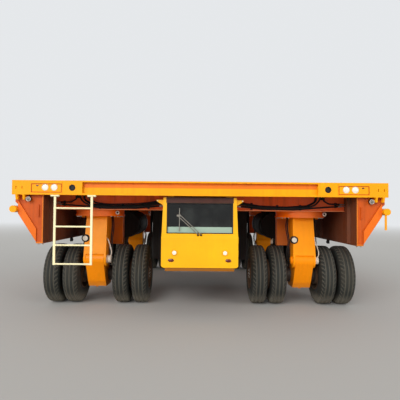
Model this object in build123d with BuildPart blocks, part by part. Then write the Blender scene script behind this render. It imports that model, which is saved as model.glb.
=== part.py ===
from build123d import *
import os
from math import asin, atan2, cos, degrees, hypot, radians, sin

# Self-propelled modular transporter: a low load deck carried by four steered twin-wheel
# bogies, with a driver's cab hung under the deck between the two front bogies.
# Millimetres, +Z up. The origin is on the ground under the middle of the deck,
# and the front faces -Y.

# Deck
deck_length = 6700
deck_width = 6000
deck_top = 2170
deck_plate = 16

# Front and rear edge beams
beam_height = 230
beam_depth = 72
beam_web = 12
beam_flange = 26
panel_length = 1120
panel_plate = 20
lug_plate = 34
lug_drop = 80
lug_eye_radius = 22
lug_taper = 22

# Side girders and the wing plates outside them
wing_width = 460
wing_count = 6
wing_plate = 16
girder_web = 20
girder_flange = 26
girder_foot_width = 120
girder_foot_lip = 10
girder_rib_depth = 56
girder_rib_plate = 14
rail_radius = 55
rail_height = 1710
rail_proud = 40
drop_pin_radius = 17
drop_pin_length = 240
slope_bar_depth = 22
slope_bar_width = 115

# Cross beams over the bogies, and the bearers under the deck
frame_bottom = 1710
cross_beam_width = 920
cross_beam_plate = 20
cross_beam_lip = 24
cross_beam_lip_plate = 12
bearer_depth = 190
bearer_plate = 14
bearer_foot_width = 110

# Bogies: place, turntable, knuckle and swing arm
bogie_x = 1850
bogie_y = 2250
turntable_radius = 446
turntable_depth = 110
turntable_flange = 24
knuckle_top_width = 368
knuckle_foot_width = 393
knuckle_cheek = 36
elbow_forward = 265
elbow_height = 833
elbow_boss = 130
elbow_pin_radius = 48
elbow_cap_radius = 64
elbow_cap_length = 18
elbow_cap_reach = 66
arm_boss = elbow_boss + 4
arm_drop = 210
arm_toe = 130
arm_kink = 205
arm_kink_rise = 100
arm_axle_radius = 150
axle_back = 110
axle_radius = 75
hanger_width = 700
hanger_depth = 150
hanger_back = 350
hanger_plate = 18
cylinder_back = 225
cylinder_radius = 92
rod_radius = 58
cylinder_top = 1505
eye_radius = 62
eye_pin_radius = 34

# Wheels
tyre_diameter = 1070
tyre_width = 305
tyre_inner_face = 285
tyre_gap = 35
rim_radius = 282
rim_wall = 14
hub_radius = 178
hub_cap_radius = 120
tyre_sides = 30
tyre_shoulder = 30

# Cab
cab_width = 1228
cab_top_width = 1184
cab_length = 1350
cab_setback = 20
cab_bottom = 797
cab_top = 1920
cab_wall = 40
cab_sill = 54
sill_setback = 60
crease_low = 1264
crease_high = 1336
crease_depth = 55
screen_top = 1829
screen_lean = 25
screen_width = 1072
side_window_sill = 1290
window_frame = 58
rear_pillar = 180
rear_window_width = 760
door_width = 680
door_height = 838
door_sill = 850
door_gap = 8
door_pillar = 30
door_hinge_radius = 9
door_hinge_length = 50
door_hinge_stand = 1
glass = 8
beam_clearance = 26
gusset_reach = 96
gusset_plate = 60
gusset_drop = 110
gusset_lip = 20
post_x = 480
post_width = 90
post_depth = 60
front_post_back = 180

# Fits
seat_gap = 0.3
pin_gap = 0.05
yoke_gap = 2.0
tyre_headroom = 90

# Places worked out from the sizes above
deck_under = deck_top - deck_plate
beam_bottom = deck_top - beam_height
deck_half = deck_width / 2
beam_front = deck_length / 2
beam_back = beam_front - beam_depth
girder_outer = deck_half - wing_width
girder_inner = girder_outer - girder_web
girder_bottom = tyre_diameter + tyre_headroom
axle_height = tyre_diameter / 2
turntable_top = frame_bottom - seat_gap
turntable_bottom = turntable_top - turntable_depth
bogies = (  # name, x, y
    ("front_left", bogie_x, -bogie_y),
    ("front_right", -bogie_x, -bogie_y),
    ("rear_left", bogie_x, bogie_y),
    ("rear_right", -bogie_x, bogie_y),
)
ends = (("front", -1), ("rear", 1))  # name, sign of Y

os.makedirs("parts", exist_ok=True)


def save(part, name):
    """Label a finished piece and write it to its own STEP file."""
    part.label = name
    export_step(part, f"parts/{name}.step")


def edge_beam(end):
    """Return an edge beam: an open channel with flush lamp panels and lug plates at its ends."""
    panel_middle = deck_half - panel_length / 2
    with BuildPart() as beam:
        with BuildSketch(Plane.YZ.offset(-deck_half)):
            with Locations((end * (beam_back + beam_web / 2), deck_top - beam_height / 2)):
                Rectangle(beam_web, beam_height)
            for level in (deck_top - beam_flange / 2, beam_bottom + beam_flange / 2):
                with Locations((end * (beam_front - beam_depth / 2), level)):
                    Rectangle(beam_depth, beam_flange)
        extrude(amount=deck_width)
        for side in (1, -1):
            with BuildSketch(Plane.XZ.offset(-end * beam_front)):
                with Locations((side * panel_middle, deck_top - beam_height / 2)):
                    Rectangle(panel_length, beam_height)
            extrude(amount=end * panel_plate)
            with BuildSketch(Plane.XZ.offset(-end * beam_front)):
                with Locations((side * lamp_panel_middle, lamp_panel_height)):
                    RectangleRounded(lamp_panel_size[0], lamp_panel_size[1], 10)
                with Locations((side * (lamp_panel_middle - lamp_panel_size[0] / 2 - 14),
                                deck_top - beam_height / 2)):
                    Rectangle(panel_groove, beam_height - 2 * beam_flange)
            extrude(amount=end * panel_recess, mode=Mode.SUBTRACT)
            with BuildSketch(Plane.XZ.offset(-end * beam_front)):
                for x, level, radius in lamp_seats:
                    with Locations((side * x, level)):
                        Circle(radius + seat_gap)
            extrude(amount=end * beam_depth, mode=Mode.SUBTRACT)
            for inner, outer in corner_blocks:
                with BuildSketch(Plane.YZ.offset(side * inner)):
                    with Locations((end * (beam_front - beam_depth / 2), deck_top - beam_height / 2)):
                        Rectangle(beam_depth, beam_height)
                extrude(amount=side * (outer - inner))
            with BuildSketch(Plane.XZ.offset(-end * beam_front)):
                for x in corner_slots:
                    with Locations((side * x, corner_slot_height)):
                        Rectangle(*corner_slot_size)
            extrude(amount=end * (beam_depth - beam_web), mode=Mode.SUBTRACT)
    return beam.part


def lashing_lugs():
    """Return the lashing lugs under the beams' corners, each a tapered plate with an eye."""
    with BuildPart() as lugs:
        for _, end in ends:
            for side in (1, -1):
                for centre in lug_places:
                    with BuildSketch(Plane.YZ.offset(side * centre - lug_plate / 2)):
                        with BuildLine():
                            Polyline(
                                (end * beam_back, beam_bottom),
                                (end * beam_front, beam_bottom),
                                (end * (beam_front - lug_taper), beam_bottom - lug_drop),
                                (end * beam_back, beam_bottom - lug_drop),
                                close=True,
                            )
                        make_face()
                        with Locations((end * (beam_front - beam_depth / 2),
                                        beam_bottom - lug_drop / 2)):
                            Circle(lug_eye_radius, mode=Mode.SUBTRACT)
                    extrude(amount=lug_plate)
    return lugs.part


# Recessed lamp panel in the flush plate: its middle, height, width and height
lamp_panel_middle = deck_half - 548
lamp_panel_height = 2047
lamp_panel_size = (477, 132)
panel_recess = 5
panel_groove = 9
# Lamps seated in the edge beams: distance from the middle, height, radius
lamp_seats = (
    (deck_half - 670, 2057, 54),
    (deck_half - 525, 2057, 54),
    (deck_half - 960, 2055, 51),
)
# Middle of each lashing lug plate, from the middle of the deck
lug_places = (deck_half - 184, deck_half - 70)
# Solid blocks across the beam at its corners: inner and outer face, from the middle of the deck
corner_blocks = (
    (lug_places[0] - lug_plate / 2, lug_places[0] + lug_plate / 2),
    (lug_places[1] - lug_plate / 2, deck_half),
)
# Upright slots in the flush plate beside the corner blocks: place, height, width and height
corner_slots = (deck_half - 160, deck_half - 64)
corner_slot_height = 2054
corner_slot_size = (12, 45)

for name, end in ends:
    save(edge_beam(end), f"{name}_edge_beam")
save(lashing_lugs(), "lashing_lugs")

with BuildPart() as deck:
    with BuildSketch(Plane.XY.offset(deck_under)):
        Rectangle(deck_width, 2 * beam_back)
    extrude(amount=deck_plate)
save(deck.part, "deck_plate")


# Ribs inside the side girders: place along Y
girder_ribs = (-3000, -1500, -750, 0, 750, 1500, 3000)


def side_girder(side):
    """Return a side girder: a deep web with a foot flange and a narrow top flange."""
    with BuildPart() as girder:
        with BuildSketch(Plane.XZ.offset(beam_back)):
            with Locations((side * (girder_outer - girder_web / 2), (girder_bottom + deck_under) / 2)):
                Rectangle(girder_web, deck_under - girder_bottom)
            foot_middle = girder_inner - girder_foot_lip + girder_foot_width / 2
            with Locations((side * foot_middle, girder_bottom + girder_flange / 2)):
                Rectangle(girder_foot_width, girder_flange)
        extrude(amount=-2 * beam_back)
        for y in girder_ribs:
            with BuildSketch(Plane.XZ.offset(-y)):
                with Locations((side * (girder_inner - girder_rib_depth / 2),
                                (girder_bottom + girder_flange + deck_under) / 2)):
                    Rectangle(girder_rib_depth, deck_under - girder_bottom - girder_flange)
            extrude(amount=girder_rib_plate / 2, both=True)
    return girder.part


# Wing plate outline, from the girder outwards: x, z
rail_x = deck_half + rail_proud - rail_radius
rail_inner = rail_x - rail_radius
wing_knee = rail_height - rail_radius - 15
wing_low = girder_bottom + girder_flange
slope_rise = wing_knee - wing_low
slope_start = girder_inner - girder_foot_lip + girder_foot_width
slope_run = rail_inner - slope_start
slope_angle = degrees(atan2(slope_rise, slope_run))
wing_first = beam_back - slope_bar_depth - wing_plate / 2
wing_spacing = 2 * wing_first / (wing_count - 1)


def wing_plates(side):
    """Return one side's wing plates, each a gusset with a bar along its sloping edge."""
    with BuildPart() as wings:
        for index in range(wing_count):
            y = -wing_first + index * wing_spacing
            with BuildSketch(Plane.XZ.offset(-y)):
                with BuildLine():
                    Polyline(
                        (side * girder_outer, wing_low),
                        (side * slope_start, wing_low),
                        (side * rail_inner, wing_knee),
                        (side * rail_inner, rail_height + rail_radius + 15),
                        (side * (deck_half - 18), rail_height + rail_radius + 60),
                        (side * (deck_half - 18), deck_under),
                        (side * girder_outer, deck_under),
                        close=True,
                    )
                make_face()
            extrude(amount=wing_plate / 2, both=True)
            front = -y + wing_plate / 2
            with BuildSketch(Plane.XZ.offset(front)):
                with BuildLine():
                    Polyline(
                        (side * slope_start, wing_low),
                        (side * rail_inner, wing_knee),
                        (side * rail_inner, wing_knee + slope_bar_width / cos(radians(slope_angle))),
                        (side * slope_start, wing_low + slope_bar_width / cos(radians(slope_angle))),
                        close=True,
                    )
                make_face()
            extrude(amount=slope_bar_depth)
            with BuildSketch(Plane.XZ.offset(front)):
                with Locations((side * (girder_outer + 60), deck_under - 470)):
                    Rectangle(14, 200)
            extrude(amount=slope_bar_depth)
    return wings.part


def side_rail(side):
    """Return the round rail that runs along the wing plates, with closed ends."""
    with BuildPart() as rail:
        with BuildSketch(Plane.XZ.offset(beam_front - 6)):
            with Locations((side * rail_x, rail_height)):
                Circle(rail_radius)
        extrude(amount=-2 * (beam_front - 6))
        with BuildSketch(Plane.XZ.offset(beam_front - 18)):
            with Locations((side * rail_x, rail_height)):
                Circle(rail_radius - 6)
        extrude(amount=-2 * (beam_front - 18), mode=Mode.SUBTRACT)
        if side > 0:
            with BuildSketch(Plane.XY.offset(rail_height - rail_radius + 4)):
                with Locations((rail_x - 12, -beam_front + 40)):
                    Circle(drop_pin_radius)
            extrude(amount=-drop_pin_length)
    return rail.part


for piece, name in ((side_girder, "side_girders"), (wing_plates, "wing_plates"),
                    (side_rail, "side_rails")):
    pair = [piece(side) for side in (1, -1)]
    with BuildPart() as both_sides:
        for one in pair:
            add(one)
    save(both_sides.part, name)

cab_notch = cab_width / 2 + beam_clearance
notch_top = cab_top + beam_clearance


def cross_beam(y, over_cab):
    """Return a hollow cross beam over two bogies, stepped up over the cab at the front."""
    with BuildPart() as beam:
        for inset, mode in ((0, Mode.ADD), (cross_beam_plate, Mode.SUBTRACT)):
            with BuildSketch(Plane.XZ.offset(-y)):
                with Locations((0, (frame_bottom + deck_under) / 2)):
                    Rectangle(2 * (girder_inner - inset), deck_under - frame_bottom - 2 * inset)
                if over_cab:
                    step = notch_top + inset
                    with Locations((0, (frame_bottom + step) / 2)):
                        Rectangle(2 * (cab_notch + inset), step - frame_bottom, mode=Mode.SUBTRACT)
            extrude(amount=cross_beam_width / 2 - inset, both=True, mode=mode)
        with BuildSketch(Plane.XY.offset(frame_bottom)):
            with Locations((0, y)):
                Rectangle(2 * girder_inner, cross_beam_width + 2 * cross_beam_lip)
                if over_cab:
                    Rectangle(2 * cab_notch, cross_beam_width + 2 * cross_beam_lip,
                              mode=Mode.SUBTRACT)
        extrude(amount=cross_beam_lip_plate)
    return beam.part


save(cross_beam(-bogie_y, True), "front_cross_beam")
save(cross_beam(bogie_y, False), "rear_cross_beam")

# Long bearers under the deck, from end to end between the cross beams: distance from the middle
long_bearers = (760, 1650)
bearer_spans = (  # start, end along Y
    (-beam_back, -bogie_y - cross_beam_width / 2),
    (-bogie_y + cross_beam_width / 2, bogie_y - cross_beam_width / 2),
    (bogie_y + cross_beam_width / 2, beam_back),
)
with BuildPart() as bearers:
    for start, finish in bearer_spans:
        for x in long_bearers:
            for side in (1, -1):
                with BuildSketch(Plane.XZ.offset(-start)):
                    with Locations((side * x, deck_under - bearer_depth / 2)):
                        Rectangle(bearer_plate, bearer_depth)
                    with Locations((side * x, deck_under - bearer_depth + bearer_plate / 2)):
                        Rectangle(bearer_foot_width, bearer_plate)
                extrude(amount=start - finish)
save(bearers.part, "long_bearers")

# Cross ties between the long bearers, inside the middle bay: place along Y
tie_places = (-1300, 1300)
with BuildPart() as ties:
    for y in tie_places:
        for x0, x1 in (
            (-girder_inner, -long_bearers[1] - bearer_foot_width / 2),
            (-long_bearers[1] + bearer_foot_width / 2, -long_bearers[0] - bearer_foot_width / 2),
            (-long_bearers[0] + bearer_foot_width / 2, long_bearers[0] - bearer_foot_width / 2),
            (long_bearers[0] + bearer_foot_width / 2, long_bearers[1] - bearer_foot_width / 2),
            (long_bearers[1] + bearer_foot_width / 2, girder_inner),
        ):
            with BuildSketch(Plane.YZ.offset(x0)):
                with Locations((y, deck_under - bearer_depth / 2)):
                    Rectangle(bearer_plate, bearer_depth)
            extrude(amount=x1 - x0)
save(ties.part, "cross_ties")

# Knuckle side profile, from the slewing axis forwards (-) and backwards (+)
elbow_front = elbow_forward + elbow_boss
knuckle_front_top = 270
knuckle_rear_top = 95
knuckle_rear_elbow = elbow_forward - elbow_boss
fork_top = elbow_height + 72
fork_radius = elbow_boss + 24
arm_width = knuckle_foot_width - 2 * knuckle_cheek - 2 * yoke_gap


# Round fittings on a knuckle: distance across, height, front and back ahead of the axis, radius
knuckle_fittings = (
    (-176, 1204, 356, 300, 66),
    (-176, 1204, 370, 300, 43),
    (376, turntable_bottom + 62, 300, 200, 33),
)


def knuckle(x, y):
    """Return a knuckle: turntable, tapered box leg, forked elbow and the hanger behind it."""
    with BuildPart() as body:
        with BuildSketch(Plane.XY.offset(turntable_bottom)):
            with Locations((x, y)):
                Circle(turntable_radius)
        extrude(amount=turntable_flange)
        with BuildSketch(Plane.XY.offset(turntable_bottom)):
            with Locations((x, y)):
                Circle(turntable_radius - 14)
        extrude(amount=turntable_depth)
        with BuildSketch(Plane.YZ.offset(x)):
            with BuildLine():
                Polyline(
                    (y - knuckle_front_top, turntable_bottom),
                    (y - elbow_front, elbow_height + 40),
                    (y - elbow_front, elbow_height),
                )
                ThreePointArc(
                    (y - elbow_front, elbow_height),
                    (y - elbow_forward, elbow_height - elbow_boss),
                    (y - knuckle_rear_elbow, elbow_height),
                )
                Polyline(
                    (y - knuckle_rear_elbow, elbow_height),
                    (y - knuckle_rear_elbow + 30, elbow_height + 170),
                    (y + knuckle_rear_top, turntable_bottom - 190),
                    (y + knuckle_rear_top, turntable_bottom),
                    (y - knuckle_front_top, turntable_bottom),
                )
            make_face()
        extrude(amount=knuckle_foot_width / 2, both=True)
        with BuildSketch(Plane.XZ.offset(-y)):
            for side in (1, -1):
                with BuildLine():
                    Polyline(
                        (x + side * knuckle_top_width / 2, turntable_bottom),
                        (x + side * knuckle_foot_width / 2, elbow_height + 90),
                        (x + side * (knuckle_foot_width / 2 + 1), turntable_bottom),
                        close=True,
                    )
                make_face()
        extrude(amount=elbow_front + 10, both=True, mode=Mode.SUBTRACT)
        with BuildSketch(Plane.YZ.offset(x)):
            with Locations((y - elbow_forward, elbow_height)):
                Circle(fork_radius)
            with Locations((y - elbow_forward, fork_top - elbow_boss - 60)):
                Rectangle(3 * elbow_boss, 2 * (elbow_boss + 60))
        extrude(amount=arm_width / 2 + yoke_gap, both=True, mode=Mode.SUBTRACT)
        with BuildSketch(Plane.YZ.offset(x)):
            with Locations((y - elbow_forward, elbow_height)):
                Circle(elbow_pin_radius + pin_gap)
        extrude(amount=knuckle_foot_width, both=True, mode=Mode.SUBTRACT)
        for across, height, front, back, radius in knuckle_fittings:
            with BuildSketch(Plane.XZ.offset(-(y - front))):
                with Locations((x + across, height)):
                    Circle(radius)
            extrude(amount=-(front - back))
        hanger_low = tyre_diameter - 20
        hanger_middle = y + hanger_back + hanger_depth / 2
        with BuildSketch(Plane.XY.offset(hanger_low)):
            with Locations((x, hanger_middle)):
                Rectangle(hanger_width, hanger_depth)
                Rectangle(hanger_width - 2 * hanger_plate, hanger_depth - 2 * hanger_plate,
                          mode=Mode.SUBTRACT)
        extrude(amount=turntable_bottom - 34 - hanger_low)
        with BuildSketch(Plane.XY.offset(turntable_bottom - 34)):
            with Locations((x, y + (hanger_back + hanger_depth) / 2)):
                Rectangle(hanger_width, hanger_back + hanger_depth)
        extrude(amount=34)
        for side in (1, -1):
            with BuildSketch(Plane.YZ.offset(x + side * (eye_radius + 22))):
                with BuildLine():
                    Polyline(
                        (y + cylinder_back - eye_radius, turntable_bottom),
                        (y + cylinder_back - eye_radius, cylinder_top),
                    )
                    ThreePointArc(
                        (y + cylinder_back - eye_radius, cylinder_top),
                        (y + cylinder_back, cylinder_top - eye_radius),
                        (y + cylinder_back + eye_radius, cylinder_top),
                    )
                    Polyline(
                        (y + cylinder_back + eye_radius, cylinder_top),
                        (y + cylinder_back + eye_radius, turntable_bottom),
                        (y + cylinder_back - eye_radius, turntable_bottom),
                    )
                make_face()
                with Locations((y + cylinder_back, cylinder_top)):
                    Circle(eye_pin_radius + pin_gap, mode=Mode.SUBTRACT)
            extrude(amount=14, both=True)
    return body.part


def swing_arm(x, y):
    """Return a swing arm with its elbow pin, the axle's bore and the cylinder's lower lugs."""
    axle_y = y + axle_back
    sole = axle_height - arm_drop
    kink_height = sole + arm_kink_rise
    run, rise = elbow_forward - arm_kink, elbow_height - kink_height
    lean = atan2(run, rise) + asin(arm_boss / hypot(run, rise))
    front_length = (run**2 + rise**2 - arm_boss**2) ** 0.5
    with BuildPart() as arm:
        with BuildSketch(Plane.YZ.offset(x)):
            with BuildLine():
                Polyline(
                    (y - arm_kink - front_length * sin(lean), kink_height + front_length * cos(lean)),
                    (y - arm_kink, kink_height),
                    (y - arm_toe, sole),
                    (axle_y + 120, sole),
                    (axle_y + arm_axle_radius + 60, axle_height - 60),
                    (axle_y + arm_axle_radius + 60, axle_height + 90),
                    (y + cylinder_back - 90, axle_height + 120),
                    (y - knuckle_rear_elbow + 20, elbow_height + 20),
                    (y - elbow_forward, elbow_height + elbow_boss - 4),
                    close=True,
                )
            make_face()
        extrude(amount=arm_width / 2, both=True)
        with BuildSketch(Plane.XY.offset(sole)):
            with Locations((x - 20, y - 90)):
                Circle(24)
        extrude(amount=-18)
        with BuildSketch(Plane.YZ.offset(x)):
            with Locations((y - elbow_forward, elbow_height)):
                Circle(arm_boss)
        extrude(amount=arm_width / 2, both=True)
        with BuildSketch(Plane.YZ.offset(x)):
            with Locations((y - elbow_forward, elbow_height)):
                Circle(elbow_pin_radius)
        extrude(amount=knuckle_foot_width / 2 + elbow_cap_length, both=True)
        for side, reach in ((1, elbow_cap_reach), (-1, elbow_cap_length)):
            with BuildSketch(Plane.YZ.offset(x + side * (knuckle_foot_width / 2 + seat_gap))):
                with Locations((y - elbow_forward, elbow_height)):
                    Circle(elbow_cap_radius)
            extrude(amount=side * reach)
        with BuildSketch(Plane.YZ.offset(x)):
            with Locations((axle_y, axle_height)):
                Circle(axle_radius + pin_gap)
        extrude(amount=arm_width, both=True, mode=Mode.SUBTRACT)
        for side in (1, -1):
            with BuildSketch(Plane.YZ.offset(x + side * (eye_radius + 22))):
                with BuildLine():
                    Polyline(
                        (y + cylinder_back - eye_radius, axle_height + 80),
                        (y + cylinder_back - eye_radius, rod_eye_height),
                    )
                    ThreePointArc(
                        (y + cylinder_back - eye_radius, rod_eye_height),
                        (y + cylinder_back, rod_eye_height + eye_radius),
                        (y + cylinder_back + eye_radius, rod_eye_height),
                    )
                    Polyline(
                        (y + cylinder_back + eye_radius, rod_eye_height),
                        (y + cylinder_back + eye_radius, axle_height + 80),
                        (y + cylinder_back - eye_radius, axle_height + 80),
                    )
                make_face()
                with Locations((y + cylinder_back, rod_eye_height)):
                    Circle(eye_pin_radius + pin_gap, mode=Mode.SUBTRACT)
            extrude(amount=14, both=True)
    return arm.part


rod_eye_height = axle_height + 200
barrel_bottom = rod_eye_height + 190


def lift_cylinder(x, y):
    """Return a suspension cylinder: barrel, rod, an eye at each end and its two pins."""
    centre_y = y + cylinder_back
    with BuildPart() as cylinder:
        with BuildSketch(Plane.XY.offset(barrel_bottom)):
            with Locations((x, centre_y)):
                Circle(cylinder_radius)
        extrude(amount=cylinder_top - eye_radius - 12 - barrel_bottom)
        with BuildSketch(Plane.XY.offset(rod_eye_height)):
            with Locations((x, centre_y)):
                Circle(rod_radius)
        extrude(amount=barrel_bottom - rod_eye_height)
        with BuildSketch(Plane.XY.offset(cylinder_top - eye_radius - 12)):
            with Locations((x, centre_y)):
                Circle(eye_radius - 8)
        extrude(amount=eye_radius + 12)
        with BuildSketch(Plane.YZ.offset(x)):
            for height in (cylinder_top, rod_eye_height):
                with Locations((centre_y, height)):
                    Circle(eye_radius - 4)
        extrude(amount=eye_radius + 8 - yoke_gap, both=True)
        with BuildSketch(Plane.YZ.offset(x)):
            for height in (cylinder_top, rod_eye_height):
                with Locations((centre_y, height)):
                    Circle(eye_pin_radius)
        extrude(amount=eye_radius + 50, both=True)
    return cylinder.part


tyre_outer_face = tyre_inner_face + 2 * tyre_width + tyre_gap


def axle(x, y):
    """Return an axle: a spindle through the swing arm with a collar at each side of it."""
    with BuildPart() as spindle:
        with BuildSketch(Plane.YZ.offset(x)):
            with Locations((y + axle_back, axle_height)):
                Circle(axle_radius)
        extrude(amount=tyre_outer_face - 60, both=True)
        for side in (1, -1):
            with BuildSketch(Plane.YZ.offset(x + side * (arm_width / 2 + seat_gap))):
                with Locations((y + axle_back, axle_height)):
                    Circle(arm_axle_radius - 12)
            extrude(amount=side * (tyre_inner_face - arm_width / 2 - 4))
    return spindle.part


def ring_of_rubber():
    """Return one tyre about the X axis: a many-sided ring with bevelled shoulders."""
    across_flats = 1 / cos(radians(180 / tyre_sides))
    with BuildPart() as tyre:
        with BuildSketch(Plane.YZ.offset(-tyre_width / 2)):
            RegularPolygon(tyre_diameter / 2 * across_flats, tyre_sides)
        extrude(amount=tyre_width)
        walls = tyre.faces().filter_by(Axis.X)
        chamfer(walls.edges(), length=tyre_shoulder, length2=tyre_shoulder / across_flats)
        with BuildSketch(Plane.YZ.offset(-tyre_width / 2)):
            RegularPolygon(rim_radius * across_flats, tyre_sides)
        extrude(amount=tyre_width, mode=Mode.SUBTRACT)
    return tyre.part


tyre_form = ring_of_rubber()


def wheel_tyres(x, y, side):
    """Return a twin wheel's two tyres, side by side on their axle."""
    first = tyre_inner_face + tyre_width / 2
    pair = [
        Pos(x + side * along, y + axle_back, axle_height) * tyre_form
        for along in (first, first + tyre_width + tyre_gap)
    ]
    with BuildPart() as tyres:
        for tyre in pair:
            add(tyre)
    return tyres.part


def wheel_rims(x, y, side):
    """Return a twin wheel's rims: two barrels on one hub, with dished discs between them."""
    centre = y + axle_back
    middle = tyre_inner_face + tyre_width + tyre_gap / 2
    barrel = rim_radius - seat_gap
    profile = (  # distance from the bogie's middle, radius
        (tyre_inner_face + 4, axle_radius + seat_gap),
        (tyre_inner_face + 4, hub_radius),
        (middle - 26, hub_radius),
        (middle - 26, barrel - rim_wall),
        (tyre_inner_face + 12, barrel - rim_wall),
        (tyre_inner_face + 12, barrel),
        (tyre_outer_face - 12, barrel),
        (tyre_outer_face - 12, barrel - rim_wall),
        (middle + 26, barrel - rim_wall),
        (middle + 26, hub_radius),
        (tyre_outer_face - 130, hub_radius),
        (tyre_outer_face - 110, hub_cap_radius),
        (tyre_outer_face - 30, hub_cap_radius),
        (tyre_outer_face - 18, hub_cap_radius - 24),
        (tyre_outer_face - 18, 0),
        (tyre_outer_face - 60 + seat_gap, 0),
        (tyre_outer_face - 60 + seat_gap, axle_radius + seat_gap),
    )
    with BuildPart() as rims:
        with BuildSketch(Plane.XY.offset(axle_height)):
            with BuildLine():
                Polyline(*[(x + side * along, centre + radius) for along, radius in profile],
                         close=True)
            make_face()
        revolve(axis=Axis((x, centre, axle_height), (1, 0, 0)))
    return rims.part


for name, x, y in bogies:
    save(knuckle(x, y), f"knuckle_{name}")
    save(swing_arm(x, y), f"swing_arm_{name}")
    save(lift_cylinder(x, y), f"lift_cylinder_{name}")
    save(axle(x, y), f"axle_{name}")
    for hand, side in (("outer", 1 if x > 0 else -1), ("inner", -1 if x > 0 else 1)):
        save(wheel_tyres(x, y, side), f"tyres_{name}_{hand}")
        save(wheel_rims(x, y, side), f"rims_{name}_{hand}")

cab_front = beam_front - cab_setback
cab_rear = cab_front - cab_length


def cab_volume(inset):
    """Return the cab's closed outer form, moved inwards by inset on every face."""
    low = cab_bottom + inset
    high = cab_top - inset
    with BuildPart() as volume:
        with BuildSketch(Plane.YZ):
            with BuildLine():
                Polyline(
                    (-cab_front + inset, low),
                    (-cab_front + inset, crease_low),
                    (-cab_front + crease_depth + inset, crease_high),
                    (-cab_front + crease_depth + screen_lean + inset, screen_top),
                    (-cab_front + crease_depth + screen_lean + inset, high),
                    (-cab_rear - inset, high),
                    (-cab_rear - inset, low),
                    close=True,
                )
            make_face()
        extrude(amount=cab_width / 2 - inset, both=True)
        with BuildSketch(Plane.XZ):
            with BuildLine():
                Polyline(
                    (-cab_width / 2 + inset, low),
                    (cab_width / 2 - inset, low),
                    (cab_width / 2 - inset, crease_high),
                    (cab_top_width / 2 - inset, cab_top),
                    (-cab_top_width / 2 + inset, cab_top),
                    (-cab_width / 2 + inset, crease_high),
                    close=True,
                )
            make_face()
        extrude(amount=cab_front + 10, mode=Mode.INTERSECT)
        if inset == 0:
            foot = volume.faces().sort_by(Axis.Z)[0]
            fillet(foot.edges().filter_by(Axis.Y), radius=cab_wall)
    return volume.part


# Cab windows and the doorway: x0, x1, y0, y1, z0, z1
front_split = -cab_front + crease_depth + screen_lean + cab_wall
door_front = front_split + door_pillar
door_top = door_sill + door_height
cab_floor = cab_bottom + cab_wall
cab_ceiling = cab_top - cab_wall
doorway = (0, cab_width, door_front, door_front + door_width, door_sill, door_top)
screen_hole = (-screen_width / 2, screen_width / 2, -cab_front, -cab_front + 200,
               crease_high, screen_top)
side_hole = (-cab_width, 0, door_front + window_frame, -cab_rear - rear_pillar, side_window_sill,
             screen_top - window_frame)
rear_hole = (-rear_window_width / 2, rear_window_width / 2, -cab_rear - 2 * cab_wall, -cab_rear,
             side_window_sill + window_frame, screen_top - 2 * window_frame)
door_hole = (0, cab_width, door_front + window_frame, door_front + door_width - window_frame,
             side_window_sill, door_top - window_frame)


def block(bounds, shrink=0.0):
    """Return a box between two corners, made smaller all round by shrink."""
    x0, x1, y0, y1, z0, z1 = bounds
    size = (x1 - x0 - 2 * shrink, y1 - y0 - 2 * shrink, z1 - z0 - 2 * shrink)
    return Pos((x0 + x1) / 2, (y0 + y1) / 2, (z0 + z1) / 2) * Box(*size)


cab_block = cab_volume(0)
cab_skin = cab_block - cab_volume(cab_wall)
pane_skin = cab_volume((cab_wall - glass) / 2) - cab_volume((cab_wall + glass) / 2)
wall_form = cab_skin - block(doorway) - block(screen_hole) - block(side_hole) - block(rear_hole)

# Panels of the cab: y0, y1, z0, z1 of each
panel_low = cab_floor + seat_gap
panel_high = cab_ceiling - seat_gap
cab_panels = {
    "cab_floor": (-cab_front, -cab_rear, cab_bottom, cab_floor),
    "cab_roof": (-cab_front, -cab_rear, cab_ceiling, cab_top),
    "cab_front": (-cab_front, front_split, panel_low, panel_high),
    "cab_rear": (-cab_rear - cab_wall, -cab_rear, panel_low, panel_high),
    "cab_sides": (front_split + seat_gap, -cab_rear - cab_wall - seat_gap, panel_low, panel_high),
}
panel_forms = {
    name: wall_form & block((-cab_width, cab_width, *bounds)) for name, bounds in cab_panels.items()
}
glass_form = [pane_skin & block(hole, seat_gap) for hole in (screen_hole, side_hole, rear_hole)]
door_axis_x = cab_width / 2 + door_hinge_radius + door_hinge_stand
door_axis_y = door_front + door_gap + door_hinge_radius
door_hinges = (door_sill + 160, door_sill + 380)
door_form = (cab_skin & block(doorway, door_gap)) - block(door_hole)
door_glass_form = pane_skin & block(door_hole, seat_gap)

for name in ("cab_front", "cab_rear"):
    save(panel_forms[name], name)

with BuildPart() as cab_base:
    add(panel_forms["cab_floor"])
    with BuildSketch(Plane.XY.offset(cab_bottom)):
        with Locations((0, (-cab_front - cab_rear) / 2)):
            Rectangle(cab_width - 2 * sill_setback, cab_length - sill_setback / 2)
    extrude(amount=-cab_sill)
save(cab_base.part, "cab_floor")

# Posts that carry the cab: y, height of what they hang from
with BuildPart() as cab_roof:
    add(panel_forms["cab_roof"])
    for y, level in ((-cab_front + front_post_back, deck_under), (-cab_rear - 60, notch_top)):
        with BuildSketch(Plane.XY.offset(cab_top)):
            for x in (-post_x, post_x):
                with Locations((x, y)):
                    Rectangle(post_width, post_depth)
        extrude(amount=level - cab_top)
save(cab_roof.part, "cab_roof")

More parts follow.
